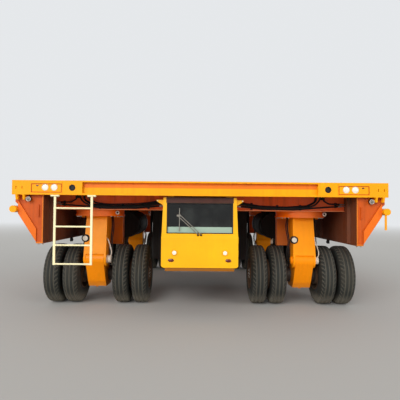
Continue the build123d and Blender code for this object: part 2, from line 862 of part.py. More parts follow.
with BuildPart() as cab_sides:
    add(panel_forms["cab_sides"])
    for side in (1, -1):
        with BuildSketch(Plane.XZ.offset(-front_split - seat_gap)):
            with BuildLine():
                Polyline(
                    (side * (cab_top_width - cab_wall) / 2, cab_ceiling - gusset_drop),
                    (side * (cab_width / 2 + gusset_reach), cab_ceiling - gusset_lip),
                    (side * (cab_width / 2 + gusset_reach), panel_high),
                    (side * (cab_top_width - cab_wall) / 2, panel_high),
                    close=True,
                )
            make_face()
        extrude(amount=-gusset_plate)
    for height in door_hinges:
        with BuildSketch(Plane.XY.offset(height - door_hinge_length - seat_gap)):
            with Locations((door_axis_x, door_axis_y)):
                Circle(door_hinge_radius)
            with Locations((door_axis_x - door_hinge_radius / 2, door_axis_y - 24)):
                Rectangle(door_hinge_radius, 48)
            with Locations(((door_axis_x + cab_width / 2) / 2, door_front - door_pillar / 2)):
                Rectangle(door_axis_x - cab_width / 2, door_pillar)
        extrude(amount=door_hinge_length)
save(cab_sides.part, "cab_sides")

with BuildPart() as cab_glass:
    for pane in glass_form:
        add(pane)
save(cab_glass.part, "cab_glass")

with BuildPart() as cab_door:
    add(door_form)
    for height in door_hinges:
        with BuildSketch(Plane.XY.offset(height)):
            with Locations((door_axis_x, door_axis_y)):
                Circle(door_hinge_radius)
            with Locations(((door_axis_x + cab_width / 2) / 2, door_axis_y)):
                Rectangle(door_axis_x - cab_width / 2, 2 * door_hinge_radius)
        extrude(amount=door_hinge_length)
save(cab_door.part, "cab_door")

with BuildPart() as door_glass:
    add(door_glass_form)
save(door_glass.part, "cab_door_glass")

# Driver's place: seat on a pedestal, dash console and steering wheel
seat_x = 0
seat_y = -cab_front + 830
seat_height = 330
seat_squab = (500, 480, 110)
seat_back = (470, 110, 560)
wheel_tilt = 35
wheel_ring = 205
armrest_x = 350
armrest_rise = 190
dash_reach = 300
dash_side_gap = 30
column_length = 190


def dash_form(grow):
    """Return the dash console across the cab, its section made larger all round by grow."""
    with BuildPart() as form:
        with BuildSketch(Plane.YZ.offset(-cab_width / 2 + cab_wall + dash_side_gap)):
            with BuildLine():
                Polyline(
                    (-cab_front + cab_wall + seat_gap, cab_floor),
                    (-cab_front + dash_reach - 50, cab_floor),
                    (-cab_front + dash_reach, crease_low - 60),
                    (-cab_front + crease_depth + 2 * cab_wall, crease_low + 20),
                    (-cab_front + cab_wall + seat_gap, crease_low - 20),
                    close=True,
                )
            make_face()
            if grow > 0:
                offset(amount=grow, kind=Kind.INTERSECTION)
        extrude(amount=cab_width - 2 * (cab_wall + dash_side_gap))
    return form.part


def steering_wheel():
    """Return the steering column with the wheel on it, before it is cut clear of the dash."""
    foot = Vector(seat_x, -cab_front + dash_reach - 30, crease_low - 120)
    column = Plane(origin=foot, z_dir=(0, sin(radians(wheel_tilt)), cos(radians(wheel_tilt))))
    with BuildPart() as wheel:
        with BuildSketch(column):
            Circle(30)
        extrude(amount=column_length)
        with BuildSketch(column.offset(column_length)):
            Circle(wheel_ring)
            Circle(wheel_ring - 26, mode=Mode.SUBTRACT)
            Circle(55)
            for turn in (0, 120, 240):
                with Locations(Rotation(0, 0, turn) * Pos(wheel_ring / 2, 0)):
                    Rectangle(wheel_ring, 30)
            Circle(wheel_ring - 3, mode=Mode.INTERSECT)
        extrude(amount=22)
    return wheel.part


dash = dash_form(0)
wheel_on_column = steering_wheel() - dash_form(seat_gap)
with BuildPart() as controls:
    add(dash)
    add(wheel_on_column)
    with BuildSketch(Plane.XY.offset(cab_floor)):
        with Locations((seat_x, seat_y)):
            RectangleRounded(380, 380, 40)
    extrude(amount=seat_height - seat_gap)
    for side in (1, -1):
        with BuildSketch(Plane.XY.offset(cab_floor)):
            with Locations((seat_x + side * armrest_x, seat_y)):
                RectangleRounded(130, 420, 30)
        extrude(amount=seat_height + armrest_rise)
save(controls.part, "cab_controls")

with BuildPart() as seat:
    with BuildSketch(Plane.XY.offset(cab_floor + seat_height)):
        with Locations((seat_x, seat_y)):
            RectangleRounded(seat_squab[0], seat_squab[1], 60)
    extrude(amount=seat_squab[2])
    with BuildSketch(Plane.XY.offset(cab_floor + seat_height + 20)):
        with Locations((seat_x, seat_y + seat_squab[1] / 2 + seat_back[1] / 2 - 20)):
            RectangleRounded(seat_back[0], seat_back[1], 40)
    extrude(amount=seat_back[2] + seat_squab[2] - 20)
save(seat.part, "driver_seat")

# Front face lamps in the edge beams, cab lamps and small corner lamps: x, height, radius, length
lamp_depth = 46
lamp_setback = 12


def lamp_row(end):
    """Return the lamps of one edge beam and the small lamps under its corners."""
    with BuildPart() as lamps:
        for side in (1, -1):
            for x, level, radius in lamp_seats:
                with BuildSketch(Plane.XZ.offset(-end * (beam_front - lamp_setback))):
                    with Locations((side * x, level)):
                        Circle(radius)
                extrude(amount=end * (beam_depth - beam_web - lamp_setback - seat_gap))
            with BuildSketch(Plane.XZ.offset(-end * beam_back)):
                with Locations((side * corner_lamp_x, corner_lamp_height)):
                    Circle(corner_lamp_radius)
            extrude(amount=-end * lamp_depth)
            with BuildSketch(Plane.XZ.offset(-end * beam_back)):
                with Locations((side * corner_lamp_x, (corner_lamp_height + beam_bottom) / 2)):
                    Rectangle(24, beam_bottom - corner_lamp_height)
            extrude(amount=-end * 8)
    return lamps.part


corner_lamp_x = deck_half - 255
corner_lamp_height = 1870
corner_lamp_radius = 38
for name, end in ends:
    save(lamp_row(end), f"{name}_lamps")

# Low lamps on the cab's face: round ones, and a wide one under each
cab_lamp_x = 403
cab_lamp_height = 1035
cab_lamp_radius = 40
marker_x = 456
marker_height = 915
marker_size = (86, 45)
with BuildPart() as cab_lamps:
    for side in (1, -1):
        with BuildSketch(Plane.XZ.offset(cab_front)):
            with Locations((side * cab_lamp_x, cab_lamp_height)):
                Circle(cab_lamp_radius)
        extrude(amount=14)
        with BuildSketch(Plane.XZ.offset(cab_front)):
            with Locations((side * marker_x, marker_height)):
                SlotOverall(*marker_size)
        extrude(amount=10)
save(cab_lamps.part, "cab_lamps")

# Ladder hung from the front beam
ladder_x = -2024
ladder_width = 588
ladder_bottom = 825
ladder_rail = 37
ladder_rail_depth = 22
ladder_rungs = (839, 1138, 1434, 1728)
ladder_rung_radius = 14
ladder_foot = (135, 40, 24)
ladder_y = -beam_front + 25
with BuildPart() as ladder:
    for side in (1, -1):
        rail_middle = ladder_x + side * ladder_width / 2
        with BuildSketch(Plane.XY.offset(ladder_bottom)):
            with Locations((rail_middle, ladder_y)):
                RectangleRounded(ladder_rail, ladder_rail_depth, 5)
        extrude(amount=beam_bottom - ladder_bottom)
        with BuildSketch(Plane.XY.offset(beam_bottom - ladder_foot[2])):
            with Locations((rail_middle, ladder_y)):
                Rectangle(ladder_foot[0], ladder_foot[1])
        extrude(amount=ladder_foot[2])
    with BuildSketch(Plane.YZ.offset(ladder_x)):
        for height in ladder_rungs:
            with Locations((ladder_y, height)):
                Circle(ladder_rung_radius)
    extrude(amount=ladder_width / 2, both=True)
save(ladder.part, "ladder")

# Power pack hung under the middle of the deck
pack_size = (2100, 1760)
pack_bottom = 650
pack_top = 1760
pack_wall = 22
louvre_count = 9
with BuildPart() as power_pack:
    with BuildSketch(Plane.XY.offset(pack_bottom)):
        RectangleRounded(pack_size[0], pack_size[1], 60)
    extrude(amount=pack_top - pack_bottom)
    with BuildSketch(Plane.YZ.offset(pack_size[0] / 2)):
        for index in range(louvre_count):
            for y in (-420, 420):
                with Locations((y, pack_bottom + 200 + 70 * index)):
                    Rectangle(620, 34)
    extrude(amount=-pack_wall, mode=Mode.SUBTRACT)
    with BuildSketch(Plane.YZ.offset(-pack_size[0] / 2)):
        for index in range(louvre_count):
            for y in (-420, 420):
                with Locations((y, pack_bottom + 200 + 70 * index)):
                    Rectangle(620, 34)
    extrude(amount=pack_wall, mode=Mode.SUBTRACT)
    with BuildSketch(Plane.XY.offset(pack_top)):
        for x in long_bearers[:1]:
            for side in (1, -1):
                for y in (-700, 0, 700):
                    with Locations((side * x, y)):
                        Rectangle(90, 90)
    extrude(amount=deck_under - bearer_depth - pack_top)
save(power_pack.part, "power_pack")

# Tanks beside the power pack, on straps under the outer bearers
tank_radius = 290
tank_length = 1500
tank_height = 1400
tank_x = long_bearers[1]
with BuildPart() as tanks:
    for side in (1, -1):
        with BuildSketch(Plane.XZ.offset(tank_length / 2)):
            with Locations((side * tank_x, tank_height)):
                Circle(tank_radius)
        extrude(amount=-tank_length)
        for y in (-500, 500):
            with BuildSketch(Plane.XZ.offset(-y + 30)):
                with Locations((side * tank_x, tank_height)):
                    Circle(tank_radius + 10)
                with Locations((side * tank_x, (tank_height + deck_under - bearer_depth) / 2)):
                    Rectangle(160, deck_under - bearer_depth - tank_height)
            extrude(amount=-60)
save(tanks.part, "tanks")

# Cable looms along the front cross beam: radius, then x and z of each bend
loom_front = bogie_y + cross_beam_width / 2
loom_bend = 90
loom_seat = 5
looms = (
    (17, ((690, 1850), (1050, 1790), (1500, 1775), (1860, 1800), (2010, 1870), (2030, 1990))),
    (13, ((690, 1785), (1100, 1745), (1640, 1740), (2150, 1780), (2420, 1800))),
    (13, ((2130, 2010), (2150, 1900), (2250, 1840), (2450, 1835))),
)
# Clamps under the looms: x, z, width, height of each
loom_clamps = (
    (900, 1790, 40, 120),
    (1350, 1772, 40, 90),
    (1750, 1775, 40, 95),
    (2144, 1930, 70, 40),
    (2370, 1818, 40, 90),
)
with BuildPart() as cable_looms:
    for side in (1, -1):
        for radius, places in looms:
            stand = loom_front + loom_seat + radius
            with BuildLine(Plane.XZ.offset(stand)) as route:
                FilletPolyline(*[(side * x, z) for x, z in places], radius=loom_bend)
            (x0, z0), (x1, z1) = places[:2]
            heading = Plane(origin=(side * x0, -stand, z0), z_dir=(side * (x1 - x0), 0, z1 - z0))
            with BuildSketch(heading):
                Circle(radius)
            sweep(path=route.wire())
        for x, z, width, height in loom_clamps:
            with BuildSketch(Plane.XZ.offset(loom_front)):
                with Locations((side * x, z)):
                    Rectangle(width, height)
            extrude(amount=loom_seat + 1)
save(cable_looms.part, "cable_looms")
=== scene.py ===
"""Dress the transporter: finishes for its steel frame, and its tyres, bolts, lamps, hoses and seat.

Every length is in metres, in the frame of the solid model: +Z up, the front faces -Y.
"""

import logging
import math
from dataclasses import dataclass, field
from enum import Enum

import bpy
import numpy as np
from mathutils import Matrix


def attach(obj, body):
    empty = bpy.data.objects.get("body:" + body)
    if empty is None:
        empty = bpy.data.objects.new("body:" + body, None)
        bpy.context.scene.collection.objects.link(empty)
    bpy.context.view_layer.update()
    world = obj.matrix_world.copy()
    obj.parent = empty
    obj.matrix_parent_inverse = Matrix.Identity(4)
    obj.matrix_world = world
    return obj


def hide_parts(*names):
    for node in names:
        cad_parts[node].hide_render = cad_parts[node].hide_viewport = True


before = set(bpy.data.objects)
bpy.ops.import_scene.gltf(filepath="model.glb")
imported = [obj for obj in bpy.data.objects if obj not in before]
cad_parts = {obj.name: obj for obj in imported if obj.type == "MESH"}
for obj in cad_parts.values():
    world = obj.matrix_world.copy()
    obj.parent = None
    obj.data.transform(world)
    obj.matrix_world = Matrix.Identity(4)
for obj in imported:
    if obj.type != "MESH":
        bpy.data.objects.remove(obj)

log = logging.getLogger("transporter")
Colour = tuple[float, float, float]
Point = tuple[float, float, float]
Pair = tuple[float, float]
Form = tuple[np.ndarray, np.ndarray]
Node = bpy.types.Node
Socket = bpy.types.NodeSocket


# Numbers that several sub-assemblies share

# The distance between front and rear steering axes, and how far the axle lies behind its axis
BOGIE_LAP = 4.5
AXLE_BACK = 0.11
TYRE_RADIUS = 0.535
# How far forward the edge beam's and the cab's faces stand
BEAM_FRONT = 3.35
CAB_FRONT = 3.33
ENDS: dict[str, int] = {"front": -1, "rear": 1}
SIDES = (1, -1)
# A thin face that is laid on a steel wall stands between these two distances before it
SKIN: Pair = (0.0002, 0.0012)
FORWARD: Point = (0, -1, 0)
UP: Point = (0, 0, 1)
DOWN: Point = (0, 0, -1)


@dataclass(frozen=True)
class Bogie:
    """A bogie's name and the place of its steering axis."""

    name: str
    x: float
    y: float

    def at(self, across: float, behind: float, up: float) -> Point:
        """Return the place so far across and behind the steering axis, and so high."""
        return (self.x + across, self.y + behind, up)

    def hands(self) -> dict[str, float]:
        """Return which way the outer and the inner wheels lie from the axis."""
        away = math.copysign(1.0, self.x)
        return {"outer": away, "inner": -away}


BOGIES = (
    Bogie("front_left", 1.85, -BOGIE_LAP / 2), Bogie("front_right", -1.85, -BOGIE_LAP / 2),
    Bogie("rear_left", 1.85, BOGIE_LAP / 2), Bogie("rear_right", -1.85, BOGIE_LAP / 2),
)


def linear(colour: Colour) -> tuple[float, float, float, float]:
    """Turn a colour as seen on a screen into the linear values that a shader takes.

    Args:
        colour: red, green and blue as displayed, each 0 to 1.

    Returns:
        Linear red, green, blue and an alpha of 1.
    """
    seen = np.asarray(colour, dtype=float)
    low = seen / 12.92
    high = ((seen + 0.055) / 1.055) ** 2.4
    return (*(float(v) for v in np.where(seen <= 0.04045, low, high)), 1.0)


# Node trees


class Graph:
    """A node tree with short ways to add and join nodes."""

    def __init__(self, tree: bpy.types.NodeTree) -> None:
        """Keep the tree that nodes go into."""
        self.tree = tree

    def add(self, kind: str, options: dict | None = None, inputs: dict | None = None) -> Node:
        """Add a node, set its options and feed its inputs.

        Args:
            kind: the node's type name.
            options: attributes to set on the node.
            inputs: input name or number to a value or an output socket.

        Returns:
            The new node.
        """
        made = self.tree.nodes.new(kind)
        for key, value in (options or {}).items():
            setattr(made, key, value)
        return self.feed(made, inputs or {})

    def feed(self, node: Node, inputs: dict) -> Node:
        """Feed a node's inputs, by name or number, with values or output sockets."""
        for key, value in inputs.items():
            if isinstance(value, Socket):
                self.tree.links.new(value, node.inputs[key])
            else:
                node.inputs[key].default_value = value
        return node

    def place(self) -> Socket:
        """Return the place that is shaded, in the shared frame."""
        return self.add("ShaderNodeTexCoord").outputs["Object"]

    def axes(self) -> list[Socket]:
        """Return the x, y and z of the place that is shaded."""
        return list(self.add("ShaderNodeSeparateXYZ", None, {0: self.place()}).outputs)

    def math(self, operation: str, first: object, second: object = 0.0,
             clamp: bool = False) -> Socket:
        """Work out one number from two, kept within 0 and 1 where clamp is set."""
        options = {"operation": operation, "use_clamp": clamp}
        return self.add("ShaderNodeMath", options, {0: first, 1: second}).outputs[0]

    def times(self, first: object, second: object, clamp: bool = False) -> Socket:
        """Multiply two numbers."""
        return self.math("MULTIPLY", first, second, clamp)

    def plus(self, first: object, second: object, clamp: bool = False) -> Socket:
        """Add two numbers."""
        return self.math("ADD", first, second, clamp)

    def blend(self, factor: object, first: object, second: object) -> Socket:
        """Mix two colours by a factor."""
        options = {"data_type": "RGBA", "blend_type": "MIX"}
        return self.add("ShaderNodeMix", options, {0: factor, 6: first, 7: second}).outputs[2]

    def ramp(self, value: object, low: float, high: float, start: float = 0.0,
             end: float = 1.0) -> Socket:
        """Map a value smoothly from low..high to start..end."""
        options = {"interpolation_type": "SMOOTHSTEP", "clamp": True}
        inputs = {"Value": value, "From Min": low, "From Max": high, "To Min": start, "To Max": end}
        return self.add("ShaderNodeMapRange", options, inputs).outputs[0]

    def noise(self, vector: object, scale: object, detail: float = 4.0,
              rough: float = 0.55) -> Socket:
        """Draw a cloudy noise over a vector."""
        inputs = {"Vector": vector, "Scale": scale, "Detail": detail, "Roughness": rough}
        return self.add("ShaderNodeTexNoise", None, inputs).outputs[0]

    def bump(self, height: Socket, strength: float, distance: float) -> Socket:
        """Turn a height into a normal."""
        inputs = {"Strength": strength, "Distance": distance, "Height": height}
        return self.add("ShaderNodeBump", None, inputs).outputs[0]

    def effect(self, kind: "Effects", inputs: dict) -> bpy.types.bpy_prop_collection:
        """Place a shared effect and return its output sockets."""
        return self.add("ShaderNodeGroup", {"node_tree": kind.tree()}, inputs).outputs


NUMBER = "NodeSocketFloat"
COLOUR = "NodeSocketColor"
MASK = {"Mask": NUMBER}


def sockets(kind: str, *names: str) -> dict[str, str]:
    """Name several sockets of one kind."""
    return dict.fromkeys(names, kind)


def new_group(name: str, takes: dict[str, str],
              gives: dict[str, str]) -> tuple[Graph, bpy.types.bpy_prop_collection, Node]:
    """Make an empty shader node group with named sockets.

    Args:
        name: the group's name.
        takes: input socket name to socket type.
        gives: output socket name to socket type.

    Returns:
        The group's graph, the sockets of what it takes, and its output node.
    """
    tree = bpy.data.node_groups.new(name, "ShaderNodeTree")
    for side, kinds in (("INPUT", takes), ("OUTPUT", gives)):
        for label, kind in kinds.items():
            tree.interface.new_socket(name=label, in_out=side, socket_type=kind)
    graph = Graph(tree)
    return graph, graph.add("NodeGroupInput").outputs, graph.add("NodeGroupOutput")


def weather_group() -> bpy.types.NodeTree:
    """Build the grime effect: cloudy fading, streaks that run down, and dust near the ground.

    Returns:
        A group that turns a paint colour into a weathered one, with a mask of its grime.
    """
    takes = sockets(COLOUR, "Paint", "Grime", "Dust") | sockets(NUMBER, "Amount", "Dust Height")
    graph, given, result = new_group("weather", takes, {"Colour": COLOUR, "Mask": NUMBER})
    place = graph.place()
    drawn_out = graph.add("ShaderNodeMapping", None, {"Vector": place, "Scale": (9.0, 9.0, 0.55)})
    cloud = graph.noise(place, 1.7, 6.0, 0.6)
    streak = graph.noise(drawn_out.outputs[0], 1.6, 5.0, 0.6)
    speck = graph.noise(place, 46.0, 3.0, 0.7)
    patches = graph.ramp(graph.times(cloud, streak), 0.20, 0.42)
    specks = graph.ramp(speck, 0.60, 0.74)
    mask = graph.math("MAXIMUM", graph.times(patches, 0.8), graph.times(specks, 0.5))
    grimy = graph.times(mask, given["Amount"], clamp=True)
    faded = graph.add("ShaderNodeHueSaturation", None, {
        "Saturation": graph.ramp(cloud, 0.35, 0.7, 1.0, 1.06),
        "Value": graph.ramp(cloud, 0.3, 0.7, 0.90, 1.05),
        "Color": given["Paint"],
    }).outputs[0]
    dirty = graph.blend(grimy, faded, given["Grime"])
    level = graph.math("DIVIDE", graph.axes()[2], graph.math("MAXIMUM", given["Dust Height"], 0.01))
    fall = graph.ramp(graph.plus(level, graph.times(cloud, -0.5)), 0.0, 0.9, 0.75, 0.0)
    dusty = graph.times(fall, graph.ramp(speck, 0.3, 0.7, 0.45, 1.0), clamp=True)
    graph.feed(result, {
        "Colour": graph.blend(dusty, dirty, given["Dust"]),
        "Mask": graph.math("MAXIMUM", grimy, dusty, clamp=True),
    })
    return graph.tree


def edge_group() -> bpy.types.NodeTree:
    """Build the edge effect: where a rounded normal leaves the true one, paint is scuffed.

    Returns:
        A group that gives a mask of chipped edges, broken up by noise.
    """
    graph, given, result = new_group("edge_wear", sockets(NUMBER, "Width", "Amount"), MASK)
    soft = graph.add("ShaderNodeBevel", {"samples": 4}, {"Radius": given["Width"]}).outputs[0]
    true = graph.add("ShaderNodeNewGeometry").outputs["Normal"]
    options = {"operation": "DOT_PRODUCT"}
    along = graph.add("ShaderNodeVectorMath", options, {0: soft, 1: true}).outputs["Value"]
    breaks = graph.ramp(graph.noise(graph.place(), 21.0, 5.0, 0.65), 0.46, 0.60)
    edge = graph.ramp(graph.math("SUBTRACT", 1.0, along), 0.03, 0.22)
    mask = graph.times(graph.times(edge, breaks), given["Amount"], clamp=True)
    graph.feed(result, {"Mask": mask})
    return graph.tree


def grain_group() -> bpy.types.NodeTree:
    """Build the grain effect: a fine rolled or sprayed texture as a height.

    Returns:
        A group that gives a height from two sizes of noise.
    """
    graph, given, result = new_group("grain", sockets(NUMBER, "Scale"), {"Height": NUMBER})
    place = graph.place()
    fine = graph.times(graph.noise(place, given["Scale"], 4.0, 0.5), 0.35)
    graph.feed(result, {"Height": graph.plus(fine, graph.noise(place, 7.0, 3.0, 0.5))})
    return graph.tree


def zone_group() -> bpy.types.NodeTree:
    """Build the zone effect: a mask that is 1 where a place along one direction is in a range.

    The place across is the distance from the middle, the place behind is counted from the
    nearest bogie's steering axis, and the place up is the height.

    Returns:
        A group that takes the shares of the three directions and the range's two ends.
    """
    takes = sockets(NUMBER, "Across", "Behind", "Up", "Low", "High")
    graph, given, result = new_group("zone", takes, MASK)
    x, y, up = graph.axes()
    lap = graph.math("MODULO", graph.plus(y, 2 * BOGIE_LAP), BOGIE_LAP)
    behind = graph.math("SUBTRACT", lap, BOGIE_LAP / 2)
    value = graph.times(graph.math("ABSOLUTE", x), given["Across"])
    for source, name in ((behind, "Behind"), (up, "Up")):
        value = graph.plus(value, graph.times(source, given[name]))
    above = graph.math("GREATER_THAN", value, given["Low"])
    below = graph.math("LESS_THAN", value, given["High"])
    graph.feed(result, {"Mask": graph.times(above, below)})
    return graph.tree


def seam_group() -> bpy.types.NodeTree:
    """Build the seam effect: weld lines between the deck's plates, on a grid of even steps.

    Returns:
        A group that gives a mask of thin lines along X and Y.
    """
    graph, given, result = new_group("plate_seams", sockets(NUMBER, "Step X", "Step Y"), MASK)
    lines = []
    for value, name in zip(graph.axes(), ("Step X", "Step Y")):
        swing = graph.math("PINGPONG", value, graph.times(given[name], 0.5))
        lines.append(graph.ramp(swing, 0.004, 0.012, 1.0, 0.0))
    graph.feed(result, {"Mask": graph.math("MAXIMUM", *lines)})
    return graph.tree


def outline_group() -> bpy.types.NodeTree:
    """Build the outline effect: a thin line round a rectangle in X and Z, on both sides.

    Returns:
        A group that gives a mask of the places whose greater overshoot past the half sizes
        is near nought.
    """
    takes = sockets(NUMBER, "Middle X", "Middle Z", "Half X", "Half Z", "Width")
    graph, given, result = new_group("outline", takes, MASK)
    x, _, z = graph.axes()
    over = []
    for value, name in ((graph.math("ABSOLUTE", x), "X"), (z, "Z")):
        away = graph.math("ABSOLUTE", graph.math("SUBTRACT", value, given[f"Middle {name}"]))
        over.append(graph.math("SUBTRACT", away, given[f"Half {name}"]))
    edge = graph.math("ABSOLUTE", graph.math("MAXIMUM", *over))
    graph.feed(result, {"Mask": graph.math("LESS_THAN", edge, graph.times(given["Width"], 0.5))})
    return graph.tree


class Effects(Enum):
    """The shared effects that materials place, each built once."""

    WEATHER = "weather"
    EDGE = "edge_wear"
    GRAIN = "grain"
    ZONE = "zone"
    SEAMS = "plate_seams"
    OUTLINE = "outline"

    def tree(self) -> bpy.types.NodeTree:
        """Return the effect's node group, made on first use."""
        makers = {"weather": weather_group, "edge_wear": edge_group, "grain": grain_group,
                  "zone": zone_group, "plate_seams": seam_group, "outline": outline_group}
        return bpy.data.node_groups.get(self.value) or makers[self.value]()


# Finishes


def bare_material(name: str) -> tuple[bpy.types.Material, Graph, Node]:
    """Make a material that holds only a Principled shader.

    Args:
        name: the material's name.

    Returns:
        The material, its graph and its Principled node.
    """
    made = bpy.data.materials.new(name)
    made.use_nodes = True
    made.node_tree.nodes.clear()
    graph = Graph(made.node_tree)
    shader = graph.add("ShaderNodeBsdfPrincipled")
    graph.add("ShaderNodeOutputMaterial", None, {0: shader.outputs[0]})
    return made, graph, shader


@dataclass(frozen=True)
class Finish:
    """A named look, whose material is made on first use."""

    name: str

    def material(self) -> bpy.types.Material:
        """Return the finish's material."""
        if self.name in bpy.data.materials:
            return bpy.data.materials[self.name]
        made, graph, shader = bare_material(self.name)
        self.shade(graph, shader)
        return made

    def shade(self, graph: Graph, shader: Node) -> None:
        """Feed the shader with what the finish looks like."""
        raise NotImplementedError


class Along(Enum):
    """The directions in which a zone is measured, as shares of across, behind and up."""

    ACROSS = (1.0, 0.0, 0.0)
    BEHIND = (0.0, 1.0, 0.0)
    UP = (0.0, 0.0, 1.0)


@dataclass(frozen=True)
class Zone:
    """A second colour between two places across from the middle, behind a bogie's axis or up."""

    colour: Colour
    low: float
    high: float
    along: Along = Along.UP


@dataclass(frozen=True)
class Outline:
    """A weld line round a rectangle seen from the front, the same on both sides of the middle."""

    colour: Colour
    middle: Pair
    half: Pair
    width: float


@dataclass(frozen=True)
class Paint(Finish):
    """Sprayed paint on steel, with grime, dust from the ground and scuffed edges."""

    colour: Colour
    grime: Colour = (0.30, 0.17, 0.07)
    dust: Colour = (0.55, 0.49, 0.42)
    undercoat: Colour = (0.38, 0.20, 0.11)
    amount: float = 0.45
    dust_height: float = 0.0
    roughness: float = 0.42
    wear: float = 0.55
    wear_width: float = 0.006
    coat: float = 0.05
    shine: float = 0.3
    grain: float = 320.0
    metallic: float = 0.0
    zones: tuple[Zone, ...] = ()
    seams: Pair | None = None
    outline: Outline | None = None
    dusty_grooves: bool = False

    def shade(self, graph: Graph, shader: Node) -> None:
        """Weather the coat, scuff its edges down to the undercoat and give it a fine grain.

        Args:
            graph: the material's graph.
            shader: the material's Principled node.
        """
        weather = graph.effect(Effects.WEATHER, {
            "Paint": self.coat_colour(graph), "Grime": linear(self.grime),
            "Dust": linear(self.dust), "Amount": self.amount, "Dust Height": self.dust_height,
        })
        edge = graph.effect(Effects.EDGE, {"Width": self.wear_width, "Amount": self.wear})
        grain = graph.effect(Effects.GRAIN, {"Scale": self.grain})
        graph.feed(shader, {
            "Base Color": graph.blend(edge["Mask"], weather["Colour"], linear(self.undercoat)),
            "Roughness": graph.plus(graph.times(weather["Mask"], 0.35), self.roughness, clamp=True),
            "Normal": graph.bump(grain["Height"], 0.10, 0.002),
            "Metallic": self.metallic, "Coat Weight": self.coat, "Coat Roughness": 0.25,
            "Specular IOR Level": self.shine,
        })

    def coat_colour(self, graph: Graph) -> object:
        """Lay zones, seams, outline and dusty grooves over the plain colour, before weathering.

        Args:
            graph: the material's graph.

        Returns:
            A colour, or the socket of one.
        """
        layers: list[tuple[Socket, Colour]] = []
        for zone in self.zones:
            shares = dict(zip(("Across", "Behind", "Up"), zone.along.value))
            inputs = shares | {"Low": zone.low, "High": zone.high}
            layers.append((graph.effect(Effects.ZONE, inputs)["Mask"], zone.colour))
        if self.seams:
            inputs = dict(zip(("Step X", "Step Y"), self.seams))
            layers.append((graph.effect(Effects.SEAMS, inputs)["Mask"], self.grime))
        if self.outline:
            labels = ("Middle X", "Middle Z", "Half X", "Half Z", "Width")
            sizes = (*self.outline.middle, *self.outline.half, self.outline.width)
            mask = graph.effect(Effects.OUTLINE, dict(zip(labels, sizes)))["Mask"]
            layers.append((mask, self.outline.colour))
        if self.dusty_grooves:
            depth = graph.add("ShaderNodeAttribute", {"attribute_name": "groove"}).outputs["Fac"]
            layers.append((graph.times(depth, 0.35), self.dust))
        colour: object = linear(self.colour)
        for mask, over in layers:
            colour = graph.blend(mask, colour, linear(over))
        return colour


@dataclass(frozen=True)
class Clear(Finish):
    """Window glass: a dark tint under a smooth gloss, with a faint film of dust."""

    colour: Colour = (0.07, 0.075, 0.07)
    film: Colour = (0.55, 0.58, 0.55)
    roughness: float = 0.04
    alpha: float = 0.82

    def shade(self, graph: Graph, shader: Node) -> None:
        """Tint the glass and lay the film over it."""
        film = graph.ramp(graph.noise(graph.place(), 3.0, 5.0, 0.6), 0.45, 0.80, 0.0, 0.10)
        graph.feed(shader, {
            "Base Color": graph.blend(film, linear(self.colour), linear(self.film)),
            "Roughness": graph.plus(film, self.roughness),
            "Alpha": graph.plus(graph.times(film, 0.6), self.alpha, clamp=True),
            "Specular IOR Level": 0.4,
        })


@dataclass(frozen=True)
class Cloth(Finish):
    """Woven seat fabric: crossed threads as a fine bump, with a soft sheen."""

    colour: Colour = (0.20, 0.20, 0.22)
    thread: float = 0.0022

    def shade(self, graph: Graph, shader: Node) -> None:
        """Cross the threads' waves along X, Y and Z, and fade the cloth in patches.

        Args:
            graph: the material's graph.
            shader: the material's Principled node.
        """
        waves = [graph.math("SINE", graph.times(axis, 2 * math.pi / self.thread))
                 for axis in graph.axes()]
        weave = graph.plus(graph.plus(waves[0], waves[1]), waves[2])
        wear = graph.ramp(graph.noise(graph.place(), 9.0, 5.0), 0.3, 0.75, 0.75, 1.2)
        inputs = {"Value": wear, "Color": linear(self.colour)}
        graph.feed(shader, {
            "Base Color": graph.add("ShaderNodeHueSaturation", None, inputs).outputs[0],
            "Normal": graph.bump(weave, 0.3, 0.0005), "Roughness": 0.85, "Sheen Weight": 0.3,
        })


@dataclass(frozen=True)
class Lens(Finish):
    """A lamp's moulded lens: ribbed, glossy and a little dusty."""

    colour: Colour = (0.97, 0.94, 0.88)
    film: Colour = (0.62, 0.55, 0.46)
    rib: float = 0.006

    def shade(self, graph: Graph, shader: Node) -> None:
        """Rib the lens along X and lay a film of dust over it."""
        rib = graph.math("SINE", graph.times(graph.axes()[0], 2 * math.pi / self.rib))
        film = graph.ramp(graph.noise(graph.place(), 30.0, 4.0), 0.4, 0.8, 0.0, 0.35)
        graph.feed(shader, {
            "Base Color": graph.blend(film, linear(self.colour), linear(self.film)),
            "Normal": graph.bump(rib, 0.25, 0.001), "Roughness": 0.14,
            "Coat Weight": 0.6, "Coat Roughness": 0.05,
        })


ORANGE = Paint("beam_orange", (1.00, 0.665, 0.00), amount=0.22, roughness=0.36, coat=0.1,
               grime=(0.66, 0.34, 0.04), shine=0.18,
               outline=Outline((0.80, 0.34, 0.02), (2.452, 2.047), (0.2385, 0.066), 0.014))
CAB_YELLOW = Paint("cab_yellow", (1.00, 0.72, 0.00), amount=0.12, roughness=0.30, coat=0.15,
                   wear=0.25, grime=(0.70, 0.42, 0.06))
# The cab yellow with painted shade: below 0.7965 m the rounded sill under the cab is a darker,
# duller yellow.
SHADED_SILL = Paint("cab_sill_shaded", (1.00, 0.72, 0.00), amount=0.12, roughness=0.30, coat=0.15, wear=0.25,
             grime=(0.70, 0.42, 0.06), zones=(Zone((0.60, 0.37, 0.10), 0.0, 0.7965),))
